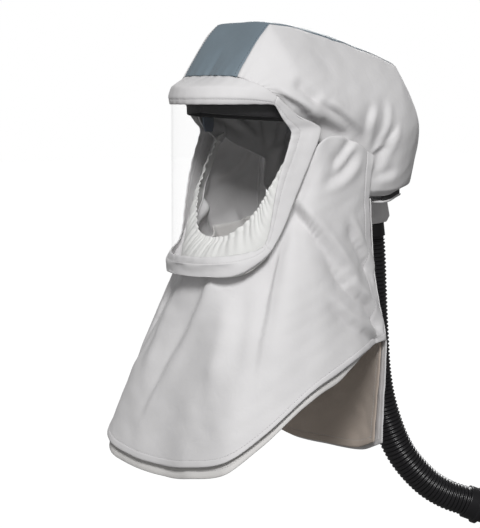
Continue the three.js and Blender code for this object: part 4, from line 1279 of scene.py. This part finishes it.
def add_seal():
    rows = points_of(SEAL_STATIONS, SEAL_COLUMNS)
    seal = Net(np.concatenate([rows, mirrored(rows[-2::-1])]))
    length, depth = seal.along[-1], seal.across[-1]
    a, b = ticks(0, length, SEAL_STEPS[0]), ticks(-SEAL_OVERLAP, depth, SEAL_STEPS[1])
    place, across = np.meshgrid(a, b, indexing="ij")
    share = np.maximum(across, 0) / depth
    wander = place / length * SEAL_GATHERS
    for reach, wave in SEAL_WANDERS:
        wander = wander + reach * np.sin(place / wave)
    gather = SEAL_RUFFLE * np.sin(2 * math.pi * wander) * share ** 2
    channel = bell(depth - across - SEAL_CHANNEL, height=1.0, width=2.5)
    slack = SEAL_SLACK * np.sin(2 * math.pi * wander / SLACK_GATHERS + 1)
    slack = slack * smooth(share, *SLACK_SPAN) * (1 - 0.5 * share)
    cloth = Cloth(a, b, seal.grid(a, b), 1, gather + channel + slack)
    flat = (length, depth + SEAL_OVERLAP)
    add_sheet(cloth, "face_seal", seal_cloth, flat=flat,
              wall=SEAL_WALL)


add_seal()

# Headband and its tabs

BAND_TURNS = 181
BAND_ROWS = 15
BAND_BULGE = 0.5
BAND_MAP = 30
TAB_ROWS = (19, 25)
TAB_FOOT_TAPER = dict(share=0.3, start=0.75)
TAB_TOP_TAPER = dict(share=0.2, end=0.2)


def add_headband():
    turns = np.linspace(0, 360, BAND_TURNS)
    angle = np.abs(np.where(turns > 180, turns - 360, turns))
    angles, lows, highs = zip(*HEADBAND_RIMS)
    low, high = np.interp(angle, angles, lows), np.interp(angle, angles, highs)
    t = np.radians(turns)
    share = np.linspace(0, 1, BAND_ROWS)
    wall = HEADBAND_WALL - BAND_BULGE
    grid = np.empty((BAND_TURNS, BAND_ROWS, 3))
    for j, s in enumerate(share):
        swell = wall + BAND_BULGE * np.sin(math.pi * s)
        grid[:, j, 0] = (HEADBAND_HALF_WIDTH + swell) * np.sin(t)
        grid[:, j, 1] = -(HEADBAND_HALF_LENGTH + swell) * np.cos(t)
        grid[:, j, 2] = low + (high - low) * s
    band = Cloth(turns, share * BAND_MAP, grid, 1)
    dress(band.build("headband_strap", wall, charcoal), "headband")


def add_tab(name, side):
    a, b = np.linspace(-TAB_WIDTH / 2, TAB_WIDTH / 2, TAB_ROWS[0]), np.linspace(0, 1, TAB_ROWS[1])
    line = np.array(TAB_TOP) + (np.array(TAB_FOOT, float) - TAB_TOP) * b[:, None]
    grid = np.repeat(line[None], len(a), axis=0)
    taper = 1 - TAB_FOOT_TAPER["share"] * smooth(b, TAB_FOOT_TAPER["start"], 1)
    taper -= TAB_TOP_TAPER["share"] * (1 - smooth(b, 0, TAB_TOP_TAPER["end"]))
    grid[..., 1] += a[:, None] * taper
    grid[..., 0] += a[:, None] * taper * TAB_SLANT
    grid[..., 0] *= side
    tab = Cloth(a, b * BAND_MAP, grid, -side)
    dress(tab.build(name + "_moulded", TAB_WALL, blue_grey), name)


add_headband()
add_tab("temple_tab_left", 1)
add_tab("temple_tab_right", -1)

# Studio: pale floor, soft light

FLOOR_DROP = 0.62
FLOOR_HALF = 14
FLOOR_GLOW = 1.0
WORLD_LOW = 0.1
WORLD_HIGH = 0.34
WORLD_WAY = (0.45, -0.7, 0.55)
WORLD_SEEN = 1.0
WHITE = (1, 1, 1, 1)
LIGHT_AIM = (0, 0, -0.2)
LIGHTS = [
    dict(name="key_light", place=(2.05, -1.7, 1.6), size=0.8, energy=76),
    dict(name="back_light", place=(-1.9, 2.2, 1.3), size=1.2, energy=48),
]


def add_floor():
    """White floor, too bright to show a shadow; it sends no light back up."""
    bpy.ops.mesh.primitive_plane_add(size=2 * FLOOR_HALF, location=(0, 0, -FLOOR_DROP))
    floor = bpy.context.object
    floor.name = "floor"
    material, _, _, shader = new_material("floor_pale")
    set_values(shader, {"Base Color": (0.05, 0.05, 0.05, 1), "Roughness": 0.9, "Specular IOR Level": 0,
                        "Emission Color": WHITE, "Emission Strength": FLOOR_GLOW})
    floor.data.materials.append(material)
    floor.visible_diffuse = False
    floor.visible_glossy = False


def add_world():
    """White background; the light it gives is weaker from behind and below."""
    world = bpy.data.worlds.new("studio")
    bpy.context.scene.world = world
    world.use_nodes = True
    nodes, links = world.node_tree.nodes, world.node_tree.links
    shade = nodes["Background"]
    set_values(shade, {"Color": WHITE})
    place = nodes.new("ShaderNodeTexCoord")
    toward = add_node(nodes, "ShaderNodeVectorMath", {1: WORLD_WAY})
    toward.operation = "DOT_PRODUCT"
    ramp = add_node(nodes, "ShaderNodeMapRange", {"From Min": -1, "From Max": 1, "To Min": WORLD_LOW,
                                                  "To Max": WORLD_HIGH})
    links.new(place.outputs["Generated"], toward.inputs[0])
    links.new(toward.outputs["Value"], ramp.inputs["Value"])
    links.new(ramp.outputs["Result"], shade.inputs["Strength"])
    bright = add_node(nodes, "ShaderNodeBackground", {"Color": WHITE, "Strength": WORLD_SEEN})
    seen = nodes.new("ShaderNodeLightPath")
    mix = nodes.new("ShaderNodeMixShader")
    links.new(seen.outputs["Is Camera Ray"], mix.inputs["Fac"])
    links.new(shade.outputs["Background"], mix.inputs[1])
    links.new(bright.outputs["Background"], mix.inputs[2])
    links.new(mix.outputs["Shader"], nodes["World Output"].inputs["Surface"])


def add_lights():
    for row in LIGHTS:
        data = bpy.data.lights.new(row["name"], "AREA")
        data.size = row["size"]
        data.energy = row["energy"]
        light = bpy.data.objects.new(row["name"], data)
        light.location = row["place"]
        aim = Vector(LIGHT_AIM) - Vector(row["place"])
        light.rotation_euler = aim.to_track_quat("-Z", "Y").to_euler()
        bpy.context.collection.objects.link(light)


add_floor()
add_world()
add_lights()
bpy.context.scene.view_settings.view_transform = "Standard"
